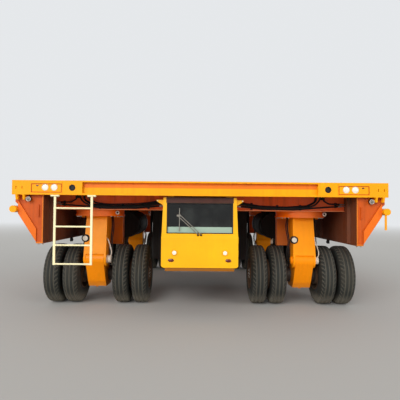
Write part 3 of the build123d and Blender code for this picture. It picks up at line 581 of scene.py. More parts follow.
# Painted shade: a deeper orange laid on the edge beams' webs under their top flanges, where the
# flange's shadow falls.
FLANGE_SHADE_PAINT = Paint("web_flange_shade", (0.93, 0.47, 0.00), amount=0.3, roughness=0.4, wear=0.0,
                  grime=(0.66, 0.30, 0.03))
KNUCKLE = Paint("knuckle_orange", (1.00, 0.60, 0.00), amount=0.12, roughness=0.38, dust_height=0.30,
                grime=(0.66, 0.32, 0.05), shine=0.18,
                # Painted shade: from 0.30 to 1.0 m behind each steering axis, on the hanger box,
                # the knuckle is a browner orange, the leg's paint as seen in the deck's shade.
                zones=(Zone((0.92, 0.50, 0.22), 0.30, 1.0, Along.BEHIND),
                       Zone((1.00, 0.51, 0.23), 1.59, 1.75)))
ARM = Paint("arm_orange", (1.00, 0.575, 0.00), amount=0.14, roughness=0.38, dust_height=0.40,
            shine=0.18, grime=(0.58, 0.26, 0.05))
FRAME_PAINT = Paint("frame_orange", (0.97, 0.40, 0.18), amount=0.6, roughness=0.5,
                    grime=(0.50, 0.21, 0.11))
WING = Paint("wing_orange", (0.80, 0.34, 0.07), amount=0.5, roughness=0.45,
             grime=(0.46, 0.17, 0.06))
BAR = Paint("bar_orange", (0.93, 0.43, 0.00), amount=0.3, roughness=0.4, coat=0.1,
            grime=(0.70, 0.28, 0.04))
GIRDER = Paint("girder_orange", (0.88, 0.46, 0.08), amount=0.6, roughness=0.5,
               grime=(0.42, 0.20, 0.10),
               # Painted shade and dirt: inside 2.5215 m of the middle the girders' inner faces are
               # dark brown, partly road dust and grease, partly the deck's shade painted on.
               zones=(Zone((0.43, 0.25, 0.17), 0.0, 2.5215, Along.ACROSS),))
# Painted highlight: a pale pinkish orange on the cross beams' flange edges, standing in for the
# light that they catch.
LIP_HIGHLIGHT = Paint("lip_painted_highlight", (1.00, 0.60, 0.38), amount=0.4, roughness=0.5, grime=(0.55, 0.24, 0.12),
            wear=0.3)
# Painted shade: a dark brown sheet over the cab's header, standing in for the shadow under the edge
# beam's overhang.
HEADER_SHADE = Paint("header_painted_shade", (0.29, 0.15, 0.11), amount=0.5, roughness=0.5,
               grime=(0.18, 0.10, 0.08))
DECK = Paint("deck_worn", (0.72, 0.47, 0.13), amount=0.9, roughness=0.6, coat=0.0,
             grime=(0.30, 0.24, 0.18), seams=(1.5, 1.675))
UNIT = Paint("unit_dark", (0.19, 0.17, 0.16), amount=0.6, roughness=0.65, coat=0.0,
             grime=(0.12, 0.10, 0.09), undercoat=(0.28, 0.20, 0.14), wear=0.3)
CREAM = Paint("ladder_cream", (0.98, 0.94, 0.76), amount=0.18, grime=(0.60, 0.50, 0.34),
              roughness=0.45)
RIM = Paint("rim_brown", (0.32, 0.21, 0.13), amount=0.5, dust_height=0.9, roughness=0.55, coat=0.0,
            dust=(0.40, 0.34, 0.28))
BLACK = Paint("black_plastic", (0.10, 0.10, 0.10), amount=0.35, grime=(0.24, 0.22, 0.20),
              roughness=0.5, wear=0.0, coat=0.0)
LOOM = Paint("loom_black", (0.075, 0.07, 0.07), amount=0.45, grime=(0.20, 0.15, 0.12),
             roughness=0.6, wear=0.0, coat=0.0)
GREY = Paint("lamp_grey", (0.44, 0.41, 0.39), amount=0.4, grime=(0.25, 0.2, 0.17), roughness=0.35,
             wear=0.0, coat=0.2, shine=0.5)
WIPER = Paint("wiper_grey", (0.52, 0.50, 0.46), amount=0.4, grime=(0.30, 0.28, 0.25),
              roughness=0.45, wear=0.0, coat=0.0)
PALE = Paint("pale_zinc", (0.87, 0.83, 0.77), amount=0.5, grime=(0.55, 0.44, 0.34), roughness=0.42,
             wear=0.0, coat=0.1)
BROWN = Paint("marker_brown", (0.40, 0.10, 0.05), amount=0.4, grime=(0.22, 0.07, 0.04),
              roughness=0.25, wear=0.0, coat=0.4, shine=0.5)
BAND = Paint("screen_band", (0.61, 0.70, 0.63), amount=0.3, grime=(0.64, 0.64, 0.62), roughness=0.4,
             wear=0.0, coat=0.2)
STEEL = Paint("worn_steel", (0.30, 0.27, 0.25), amount=0.6, grime=(0.18, 0.14, 0.11), roughness=0.5,
              wear=0.0, coat=0.0, metallic=0.5)
CHROME = Paint("rod_chrome", (0.80, 0.80, 0.80), amount=0.15, grime=(0.30, 0.26, 0.22),
               roughness=0.12, wear=0.0, coat=0.0, metallic=1.0)
ZINC = Paint("zinc_bolts", (0.74, 0.73, 0.70), amount=0.4, grime=(0.32, 0.24, 0.16), roughness=0.35,
             wear=0.0, coat=0.0, metallic=0.85)
RUBBER = Paint("moulded_rubber", (0.150, 0.158, 0.145), amount=0.6, grime=(0.27, 0.25, 0.22),
               dust=(0.54, 0.51, 0.45), dust_height=0.24, roughness=0.75, wear=0.0, coat=0.0,
               dusty_grooves=True)
GLASS = Clear("window_glass")
FABRIC = Cloth("seat_cloth")
WHITE_LENS = Lens("white_lens")
RED_LENS = Lens("red_lens", (0.62, 0.06, 0.04))

# The solids that stay in view; a name that ends in * stands for every node that starts so
DRESS: tuple[tuple[Finish, tuple[str, ...]], ...] = (
    (ORANGE, ("front_edge_beam", "rear_edge_beam", "side_rails", "lashing_lugs")),
    (CAB_YELLOW, ("cab_roof", "cab_front", "cab_rear", "cab_sides", "cab_door")),
    (SHADED_SILL, ("cab_floor",)),
    (KNUCKLE, ("knuckle*",)),
    (ARM, ("swing_arm*", "lift_cylinder*")),
    (FRAME_PAINT, ("front_cross_beam", "rear_cross_beam", "long_bearers", "cross_ties")),
    (WING, ("wing_plates",)),
    (GIRDER, ("side_girders",)),
    (DECK, ("deck_plate",)),
    (UNIT, ("power_pack", "tanks")),
    (CREAM, ("ladder",)),
    (RIM, ("rims*",)),
    (STEEL, ("axle*",)),
    (GLASS, ("cab_glass", "cab_door_glass")),
    (LOOM, ("cable_looms",)),
    (BLACK, ("cab_controls", "driver_seat", "front_lamps", "rear_lamps", "cab_lamps")),
)


def dress_nodes() -> None:
    """Give every solid that stays in view its finish."""
    for finish, patterns in DRESS:
        for pattern in patterns:
            stem = pattern.rstrip("*")
            for name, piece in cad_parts.items():
                if name == pattern or (pattern.endswith("*") and name.startswith(stem)):
                    piece.data.materials.clear()
                    piece.data.materials.append(finish.material())


# Surfaces


def grid_faces(rows: int, columns: int, round_rows: bool, round_columns: bool) -> np.ndarray:
    """Return the quads of a grid of points, row by row.

    Args:
        rows: number of rows of points.
        columns: number of points in a row.
        round_rows: whether the last row joins the first.
        round_columns: whether each row's last point joins its first.

    Returns:
        Corner numbers as an (m, 4) array.
    """
    i = np.arange(rows if round_rows else rows - 1)
    j = np.arange(columns if round_columns else columns - 1)
    i, j = (v.ravel() for v in np.meshgrid(i, j, indexing="ij"))
    i2, j2 = (i + 1) % rows, (j + 1) % columns
    corners = ((i, j), (i, j2), (i2, j2), (i2, j))
    return np.stack([row * columns + column for row, column in corners], axis=1)


def unit(vector: object) -> np.ndarray:
    """Return a vector made one metre long."""
    value = np.asarray(vector, dtype=float)
    return value / np.linalg.norm(value)


def axes_of(direction: Point) -> np.ndarray:
    """Return three unit vectors as rows: two across a direction and the direction itself."""
    along = unit(direction)
    helper = UP if abs(along[2]) < 0.9 else (0, 1, 0)
    first = unit(np.cross(helper, along))
    return np.stack([first, np.cross(along, first), along])


def turned(profile: object, sides: int) -> Form:
    """Turn a profile about its own axis.

    The point at station i and angle a is (r_i cos a, r_i sin a, h_i), for the profile's rows
    (radius r, height h). A radius of 0 closes the form at a pole.

    Args:
        profile: rows of radius and height.
        sides: number of steps round the axis.

    Returns:
        Points and quads.
    """
    angle = np.linspace(0, 2 * math.pi, sides, endpoint=False)
    rows = np.asarray(profile, dtype=float)
    radius, height = rows[:, :1], rows[:, 1:2]
    points = np.stack([radius * np.cos(angle), radius * np.sin(angle), height + 0 * angle], axis=-1)
    return points, grid_faces(len(rows), sides, False, True)


def swept(path: np.ndarray, radius: float, sides: int) -> Form:
    """Carry a circle along a path, with both ends closed.

    At each path point the circle lies across the path's tangent t: its two axes are
    u = t x h and v = u x t, for a helper direction h that the path never follows.

    Args:
        path: points of the path, as an (n, 3) array.
        radius: the tube's radius.
        sides: number of points round the circle.

    Returns:
        Points and quads.
    """
    tangent = np.gradient(path, axis=0)
    tangent /= np.linalg.norm(tangent, axis=1, keepdims=True)
    helper = np.eye(3)[int(np.argmin(np.abs(tangent).max(axis=0)))]
    u = np.cross(tangent, helper)
    u /= np.linalg.norm(u, axis=1, keepdims=True)
    v = np.cross(u, tangent)
    angle = np.linspace(0, 2 * math.pi, sides, endpoint=False)[:, None]
    ring = path[:, None] + radius * (np.cos(angle) * u[:, None] + np.sin(angle) * v[:, None])
    ends = (np.repeat(path[:1, None], sides, 1), ring, np.repeat(path[-1:, None], sides, 1))
    points = np.concatenate(ends, axis=0)
    return points, grid_faces(len(path) + 2, sides, False, True)[:, ::-1]


def curve_through(stops: list[Point], steps: int = 10) -> np.ndarray:
    """Return a smooth path through stops.

    Between stops b and c, with neighbours a and d, the point at t is the cubic
    (2b + (c - a)t + (2a - 5b + 4c - d)t^2 + (3b - a - 3c + d)t^3) / 2.

    Args:
        stops: points that the path runs through.
        steps: points from one stop to the next.

    Returns:
        The path's points, as an (n, 3) array.
    """
    p = np.asarray(stops, dtype=float)
    p = np.concatenate([2 * p[:1] - p[1:2], p, 2 * p[-1:] - p[-2:-1]])
    t = np.linspace(0, 1, steps, endpoint=False)[None, :, None]
    a, b, c, d = (p[k:len(p) - 3 + k, None] for k in range(4))
    curve = (2 * a - 5 * b + 4 * c - d) * t**2 + (3 * b - a - 3 * c + d) * t**3
    spans = (2 * b + (c - a) * t + curve) / 2
    return np.concatenate([spans.reshape(-1, 3), p[-2:-1]])


def block_form(one: Point, other: Point) -> Form:
    """Return the eight corners and six outward faces of a box between two opposite corners."""
    low, high = np.minimum(one, other), np.maximum(one, other)
    pick = np.array([(i, j, k) for k in (0, 1) for j in (0, 1) for i in (0, 1)])
    faces = ((0, 2, 3, 1), (4, 5, 7, 6), (0, 1, 5, 4), (2, 6, 7, 3), (0, 4, 6, 2), (1, 3, 7, 5))
    return np.where(pick == 1, high, low), np.array(faces)


def round_frame(width: float, height: float, radius: float, section: np.ndarray,
                origin: Point, across: Point, up: Point) -> Form:
    """Carry a section round a rectangle with rounded corners, such as a gasket or a bezel.

    A corner's point at angle a is its centre plus (radius + s)(cos a, sin a), where s is how
    far the section's point lies outside the rectangle; its second value is the height along
    the plane's normal, across x up.

    Args:
        width: the rectangle's width.
        height: the rectangle's height.
        radius: the corners' radius.
        section: the closed section's points, anticlockwise: outside the rectangle, then
            along the normal.
        origin: the rectangle's middle.
        across: unit vector along the width.
        up: unit vector along the height.

    Returns:
        Points and quads.
    """
    sides = 32
    angle = np.linspace(0, 2 * math.pi, sides, endpoint=False) + math.pi / sides
    out = np.stack([np.cos(angle), np.sin(angle)], axis=1)
    centre = np.sign(out) * (np.array([width, height]) / 2 - radius)
    flat = centre[:, None] + out[:, None] * (radius + section[None, :, :1])
    x_axis, y_axis = np.asarray(across, dtype=float), np.asarray(up, dtype=float)
    lifted = section[None, :, 1:] * np.cross(x_axis, y_axis)
    points = np.asarray(origin) + flat[..., :1] * x_axis + flat[..., 1:] * y_axis + lifted
    return points, grid_faces(sides, len(section), True, True)[:, ::-1]


def dome_profile(radius: float, height: float, rise: float, steps: int = 7) -> np.ndarray:
    """Return a dome's profile: a wall up to height, then an ellipse that rises to the middle."""
    turn = np.linspace(0, math.pi / 2, steps)
    crown = np.stack([radius * np.cos(turn), height + rise * np.sin(turn)], axis=1)
    crown[-1, 0] = 0.0
    return np.concatenate([[(radius, 0.0)], crown])


def ring_profile(inner: float, outer: float, height: float, rounding: float) -> np.ndarray:
    """Return a flat ring's profile with rounded outer and inner edges, open at its foot."""
    return np.array([(outer, 0), (outer, height - rounding), (outer - rounding, height),
                     (inner + rounding, height), (inner, height - rounding), (inner, 0)])


def bolt_profile(radius: float, height: float) -> np.ndarray:
    """Return a bolt head's profile on a washer: rows of radius and height."""
    washer = 1.35 * radius
    return np.array([(washer, 0), (washer, 0.22 * height), (radius, 0.22 * height),
                     (radius, 0.88 * height), (0.8 * radius, height), (0, height)])


def ring_of(centre: Point, direction: Point, radius: float, count: int) -> np.ndarray:
    """Return points evenly spaced round a circle that lies across a direction."""
    angle = np.linspace(0, 2 * math.pi, count, endpoint=False)[:, None]
    first, second, _ = axes_of(direction)
    return np.asarray(centre) + radius * (np.cos(angle) * first + np.sin(angle) * second)


def stand(name: str, data: bpy.types.ID) -> bpy.types.Object:
    """Put a mesh, a lamp or a camera into the scene as an object."""
    made = bpy.data.objects.new(name, data)
    bpy.context.scene.collection.objects.link(made)
    return made


@dataclass
class Batch:
    """Many small forms of one finish and body, gathered into one mesh."""

    points: list[np.ndarray] = field(default_factory=list)
    faces: list[np.ndarray] = field(default_factory=list)
    count: int = 0

    def add(self, points: np.ndarray, faces: np.ndarray) -> None:
        """Add one form's corners and its quads."""
        self.points.append(points.reshape(-1, 3))
        self.faces.append(faces + self.count)
        self.count += len(self.points[-1])

    def turn(self, profile: object, sides: int, centre: Point, direction: Point) -> None:
        """Add a turned profile that stands at a centre and points along a direction."""
        points, faces = turned(profile, sides)
        self.add(points.reshape(-1, 3) @ axes_of(direction) + np.asarray(centre), faces)

    def bolts(self, centres: object, direction: Point, radius: float, height: float) -> None:
        """Add a hexagonal bolt head on its washer at each centre, pointing along a direction."""
        for centre in centres:
            self.turn(bolt_profile(radius, height), 6, centre, direction)

    def hose(self, stops: list[Point], radius: float, sides: int = 10) -> None:
        """Add a round hose that runs smoothly through stops."""
        self.add(*swept(curve_through(stops), radius, sides))

    def block(self, one: Point, other: Point) -> None:
        """Add a box between two opposite corners."""
        self.add(*block_form(one, other))

    def piece(self, name: str, finish: Finish, slot: str, body: str = "root",
              smooth: bool = False) -> bpy.types.Object:
        """Make the gathered forms one piece that rides on a body.

        Args:
            name: the piece's name.
            finish: the piece's finish.
            slot: the record's material slot; not used.
            body: the body that the piece moves with.
            smooth: whether the faces are shaded smooth.

        Returns:
            The new object.
        """
        mesh = bpy.data.meshes.new(name)
        faces = np.concatenate(self.faces)
        mesh.from_pydata(np.concatenate(self.points).tolist(), [], faces.tolist())
        mesh.polygons.foreach_set("use_smooth", np.full(len(faces), smooth))
        mesh.update()
        mesh.materials.append(finish.material())
        piece = stand(name, mesh)
        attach(piece, body)
        log.info("%s: %d points on %s", name, self.count, body)
        return piece


# Wheels


@dataclass
class Tyres:
    """The sixteen tyres: a moulded profile carried round the axle, with a cut tread."""

    radius: float = TYRE_RADIUS
    bead: float = 0.2822
    width: float = 0.305
    inner_face: float = 0.285
    gap: float = 0.035
    groove: float = 0.014
    groove_places: Point = (-0.42, 0.0, 0.42)
    cuts: int = 42
    steps: int = 168
    across: int = 46

    def section(self) -> tuple[np.ndarray, np.ndarray]:
        """Return the closed section: place across the tyre, and radius.

        The outer skin is a superellipse: with s from -1 to 1 across the tyre, the radius
        runs from bead to crown as (1 - |s|^5.5)^(1/2.1) of the wall's height, so that it is
        flat on the tread and full in the wall. Near the bead the place across is drawn in
        by a tenth. The inner skin is a straight line between the beads.

        Returns:
            The places across and the radii, from one bead to the other.
        """
        turn = np.linspace(-1.0, 1.0, self.across)
        s = np.sign(turn) * np.abs(turn) ** 0.85
        rise = np.clip(1 - np.abs(s) ** 5.5, 0, 1) ** (1 / 2.1)
        radius = self.bead + (self.radius - self.bead) * rise
        bulge = 1 - 0.10 * np.clip((self.bead + 0.07 - radius) / 0.07, 0, 1) ** 1.5
        return self.width / 2 * s * bulge, radius

    def tread(self, angle: np.ndarray, along: np.ndarray) -> np.ndarray:
        """Return the depth of the tread, 0 to 1, at an angle and a place across the tyre.

        Three grooves run round the tyre as exp(-((x - x0) / 0.065)^4), for x from -1 to 1
        across it, and slanted cuts repeat round the shoulders as a clipped cosine that is
        shifted by the place across.

        Args:
            angle: angles round the axle.
            along: places across the tyre, one for each angle.

        Returns:
            The depth at each of them.
        """
        x = along / (self.width / 2)
        grooves = sum(np.exp(-(((x - place) / 0.065) ** 4)) for place in self.groove_places)
        wave = np.cos(self.cuts * angle + 3.6 * np.abs(x) * math.pi)
        cuts = np.clip((wave - 0.55) / 0.2, 0, 1) * np.clip((np.abs(x) - 0.5) / 0.06, 0, 1)
        shoulder = np.clip((0.97 - np.abs(x)) / 0.05, 0, 1)
        return np.clip(grooves + cuts, 0, 1) * shoulder

    def build(self) -> None:
        """Make each twin wheel's two tyres as one piece in place of its solids."""
        along, radius = self.section()
        angle = np.linspace(0, 2 * math.pi, self.steps, endpoint=False)
        a, x = np.meshgrid(angle, along, indexing="ij")
        depth = self.tread(a, x) * (radius > 0.9 * self.radius)
        r = radius - self.groove * depth
        ring = np.stack([x, r * np.cos(a), r * np.sin(a)], axis=-1)
        faces = grid_faces(self.steps, self.across, True, True)
        for bogie in BOGIES:
            for hand, side in bogie.hands().items():
                pair = Batch()
                for index in range(2):
                    middle = self.inner_face + self.width / 2 + index * (self.width + self.gap)
                    centre = bogie.at(side * middle, AXLE_BACK, self.radius)
                    pair.add(ring + np.array(centre), faces)
                node = f"tyres_{bogie.name}_{hand}"
                piece = pair.piece(f"{node}_moulded", RUBBER, "tyre_rubber",
                                   f"wheels_{bogie.name}_{hand}", smooth=True)
                store = piece.data.attributes.new("groove", "FLOAT", "POINT")
                store.data.foreach_set("value", np.tile(depth.ravel(), 2).astype(np.float32))
                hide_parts(node)


# Bogies


@dataclass
class Bogies:
    """What is bolted, capped and plumbed on the four knuckles and their hubs.

    Places are across and behind a bogie's axis, and up. A ring of hub bolts is its place
    along the axle, its radius, its number of bolts, and a bolt's radius and height.
    """

    flange_under: float = 1.5997
    flange_bolts: float = 0.418
    leg_reach: Pair = (0.21, 0.12)
    hanger_start: float = -0.03
    elbow: Pair = (-0.265, 0.833)
    elbow_half: float = 0.1968
    cap_radius: float = 0.0665
    cap_deep: float = 0.068
    cap_flat: float = 0.020
    cap_rise: float = 0.012
    fitting: Point = (-0.176, -0.356, 1.204)
    fitting_cap: Point = (0.0445, 0.019, 0.006)
    fitting_collar: tuple[float, ...] = (0.0425, 0.0685, 0.004, 0.002)
    fitting_depth: float = 0.03
    ring: Point = (0.376, -0.300, 1.6617)
    ring_edge: tuple[float, ...] = (0.017, 0.036, 0.012, 0.005)
    hub_bolts: tuple[tuple[float, float, int, float, float], ...] = (
        (0.6335, 0.222, 12, 0.017, 0.022), (0.912, 0.074, 8, 0.009, 0.009),
        (0.912, 0.0, 1, 0.014, 0.012))
    hose_out: float = 0.222
    hose_gap: float = 0.028
    rod: Pair = (0.225, 0.80)
    rod_radius: float = 0.059
    rod_length: float = 0.124
    grease_hose: tuple[Point, ...] = (
        (0.192, -0.275, 1.205), (0.222, -0.285, 1.15), (0.256, -0.298, 1.05),
        (0.276, -0.292, 0.95), (0.250, -0.275, 0.87))

    def caps(self, bogie: Bogie) -> None:
        """Cover the elbow pin's ends: a deep pale cap on one side, a flat one on the other.

        Args:
            bogie: the bogie to dress.
        """
        collar = ring_profile(self.cap_radius - 0.004, self.cap_radius + 0.012, 0.009, 0.003)
        for side, reach, kind, finish in ((1, self.cap_deep, "deep", PALE),
                                          (-1, self.cap_flat, "flat", ARM)):
            cap = Batch()
            centre = bogie.at(side * self.elbow_half, *self.elbow)
            for profile in (dome_profile(self.cap_radius, reach, self.cap_rise), collar):
                cap.turn(profile, 40, centre, (side, 0, 0))
            name = f"elbow_cap_{kind}_{bogie.name}"
            cap.piece(name, finish, "knuckle_paint", f"bogie_{bogie.name}")

    def fittings(self, bogie: Bogie) -> None:
        """Dress the knuckle's round fitting and the ring on the turntable's edge.

        Args:
            bogie: the bogie to dress.
        """
        fitting, ring = bogie.at(*self.fitting), bogie.at(*self.ring)
        _, outer, height, _ = self.fitting_collar
        wall = [(outer, -self.fitting_depth), (outer, height)]
        disc = [(self.ring_edge[0], 0.001), (0.0, 0.001)]
        pale, dark = Batch(), Batch()
        pale.turn(dome_profile(*self.fitting_cap), 32, fitting, FORWARD)
        pale.turn(ring_profile(*self.ring_edge), 28, ring, FORWARD)
        dark.turn(ring_profile(*self.fitting_collar), 32, fitting, FORWARD)
        dark.turn(wall, 32, fitting, FORWARD)
        dark.turn(disc, 28, ring, FORWARD)
        body = f"bogie_{bogie.name}"
        pale.piece(f"fitting_caps_{bogie.name}", PALE, "knuckle_paint", body)
        dark.piece(f"fitting_rings_{bogie.name}", LOOM, "black_rubber", body)

    def bolts(self, bogie: Bogie) -> None:
        """Bolt the turntable's flange from below, and each hub to its rims.

        Args:
            bogie: the bogie to dress.
        """
        ring = ring_of(bogie.at(0, 0, self.flange_under), UP, self.flange_bolts, 36)
        across, behind = np.abs(ring[:, 0] - bogie.x), ring[:, 1] - bogie.y
        leg = (across < self.leg_reach[0]) & (behind < self.leg_reach[1])
        flange = Batch()
        flange.bolts(ring[~(leg | (behind > self.hanger_start))], DOWN, 0.013, 0.016)
        name = f"turntable_bolts_{bogie.name}"
        flange.piece(name, ZINC, "axle_steel", f"bogie_{bogie.name}")
        for hand, side in bogie.hands().items():
            hub, out = Batch(), (side, 0, 0)
            for reach, circle, count, radius, height in self.hub_bolts:
                centre = bogie.at(side * reach, AXLE_BACK, TYRE_RADIUS)
                hub.bolts(ring_of(centre, out, circle, count), out, radius, height)
            name = f"hub_bolts_{bogie.name}_{hand}"
            hub.piece(name, ZINC, "rim_paint", f"wheels_{bogie.name}_{hand}")

    def hoses(self, bogie: Bogie) -> None:
        """Run brake and lift hoses from the turntable down beside the leg, and sleeve the rod.

        Args:
            bogie: the bogie to dress.
        """
        dark, pale, sleeve = Batch(), Batch(), Batch()
        for side, lean in ((1, 0.012), (-1, -0.006)):
            for index, radius in enumerate((0.011, 0.009)):
                out = self.hose_out + self.hose_gap * index
                bends = ((out, -0.06 - 0.03 * index, self.flange_under + 0.002),
                         (out + 0.02, -0.10, 1.40), (out + lean, -0.16 - 0.02 * index, 1.15),
                         (out + 0.03, -0.20, 0.97), (out - 0.005, -0.13, 0.80),
                         (0.197, -0.03, 0.70))
                dark.hose([bogie.at(side * a, b, z) for a, b, z in bends], radius)
        pale.hose([bogie.at(*bend) for bend in self.grease_hose], 0.010)
        wall = [(self.rod_radius, 0.0), (self.rod_radius, self.rod_length)]
        sleeve.turn(wall, 40, bogie.at(0, *self.rod), UP)
        for batch, name, finish, slot in ((dark, "hoses", LOOM, "black_rubber"),
                                          (pale, "grease_hose", PALE, "knuckle_paint"),
                                          (sleeve, "rod_sleeve", CHROME, "cylinder_steel")):
            batch.piece(f"{name}_{bogie.name}", finish, slot, f"bogie_{bogie.name}", smooth=True)

    def build(self) -> None:
        """Dress all four bogies."""
        for bogie in BOGIES:
            for step in (self.caps, self.fittings, self.bolts, self.hoses):
                step(bogie)


# Lamps


@dataclass
class Lamps:
    """Lenses and rims of the lamps in both edge beams, under the corners and on the cab.

    A lamp is its place across, its height and its radius.
    """

    beam_lamps: tuple[Point, ...] = ((2.330, 2.057, 0.054), (2.475, 2.057, 0.054))
    disc: Point = (2.040, 2.055, 0.051)
    plug: Point = (2.597, 2.085, 0.012)
    plug_stretch: float = 1.9
    plug_setback: float = 0.0052
    setback: float = 0.0122
    beam_depth: float = 0.0115
    corner: Point = (2.745, 1.870, 0.038)
    corner_setback: float = 0.0258
    corner_depth: float = 0.012
    cab_lamp: Point = (0.403, 1.035, 0.040)
    cab_stand: float = 0.0142
    cab_depth: float = 0.0055
    marker: Pair = (0.456, 0.915)
    marker_half: Point = (0.046, 0.010, 0.026)
    marker_stand: float = 0.0095
    sides: int = 36

    def round_one(self, lens: Batch, rim: Batch, centre: Point, end: int, radius: float,
                  depth: float) -> None:
        """Add one domed lens inside its rim.

        Args:
            lens: the batch that the lens goes into.
            rim: the batch that the rim goes into.
            centre: the middle of the lamp's face.
            end: which way the lamp looks along Y.
            radius: the rim's outer radius.
            depth: how far the lens and the rim may stand before the face.
        """
        out = (0, end, 0)
        lens.turn(dome_profile(radius - 0.006, 0.25 * depth, 0.7 * depth), self.sides, centre, out)
        edge = ring_profile(radius - 0.007, radius, 0.8 * depth, 0.2 * depth)
        rim.turn(edge, self.sides, centre, out)

    def beam(self, name: str, end: int) -> None:
        """Make one edge beam's lenses, dark discs and plugs.

        Args:
            name: the end's name.
            end: which way the end lies along Y.
        """
        lens, rim, dark, plugs = Batch(), Batch(), Batch(), Batch()
        out, y = (0, end, 0), end * (BEAM_FRONT - self.setback)
        for side in SIDES:
            for x, z, radius in self.beam_lamps:
                self.round_one(lens, rim, (side * x, y, z), end, radius, self.beam_depth)
            x, z, radius = self.disc
            edge = ring_profile(0.62 * radius, radius, 0.011, 0.003)
            dark.turn(edge, self.sides, (side * x, y, z), out)
            x, z, radius = self.plug
            plug, faces = turned(dome_profile(radius, 0.0005, 0.003), 24)
            plug = plug @ axes_of(out) * np.array([self.plug_stretch, 1.0, 1.0])
            middle = np.array([side * x, end * (BEAM_FRONT - self.plug_setback), z])
            plugs.add(plug + middle, faces)
        finish, slot = (WHITE_LENS, "lamp_lens") if end < 0 else (RED_LENS, "rear_lens")
        lens.piece(f"{name}_lenses", finish, slot, smooth=True)
        rim.piece(f"{name}_lamp_rims", PALE, slot)
        dark.piece(f"{name}_dark_discs", LOOM, "black_rubber")
        plugs.piece(f"{name}_plugs", BROWN, "rear_lens")

    def corners(self) -> None:
        """Make the small grey lamps' glasses under the four corners."""
        glass, rim = Batch(), Batch()
        x, z, radius = self.corner
        for end in ENDS.values():
            for side in SIDES:
                centre = (side * x, end * (BEAM_FRONT - self.corner_setback), z)
                self.round_one(glass, rim, centre, end, radius, self.corner_depth)
        glass.piece("corner_lamp_glasses", GREY, "lamp_lens", smooth=True)
        rim.piece("corner_lamp_rims", PALE, "lamp_lens")

    def cab(self) -> None:
        """Make the cab's round lamps and the brown markers under them, which are flat domes."""
        lens, rim, marker = Batch(), Batch(), Batch()
        turn = np.linspace(0, math.pi / 2, 7)[:, None]
        angle = np.linspace(0, 2 * math.pi, self.sides, endpoint=False)[None]
        x, z, radius = self.cab_lamp
        collar = ring_profile(radius - 0.001, radius + 0.009, 0.010, 0.003)
        wide, deep, tall = self.marker_half
        for side in SIDES:
            centre = (side * x, -CAB_FRONT - self.cab_stand, z)
            self.round_one(lens, rim, centre, -1, radius, self.cab_depth)
            rim.turn(collar, self.sides, (side * x, -CAB_FRONT - 0.0002, z), FORWARD)
            points = np.stack([
                side * self.marker[0] + wide * np.cos(turn) * np.cos(angle),
                -CAB_FRONT - self.marker_stand - deep * np.sin(turn) + 0 * angle,
                self.marker[1] + tall * np.cos(turn) * np.sin(angle),
            ], axis=-1)
            marker.add(points, grid_faces(len(turn), self.sides, False, True))
        lens.piece("cab_lenses", WHITE_LENS, "lamp_lens", smooth=True)
        rim.piece("cab_lamp_rims", CAB_YELLOW, "cab_paint")
        marker.piece("cab_markers", BROWN, "rear_lens", smooth=True)

    def build(self) -> None:
        """Make every lamp's lens and rim."""
        for name, end in ENDS.items():
            self.beam(name, end)
        self.corners()
        self.cab()


# Cab


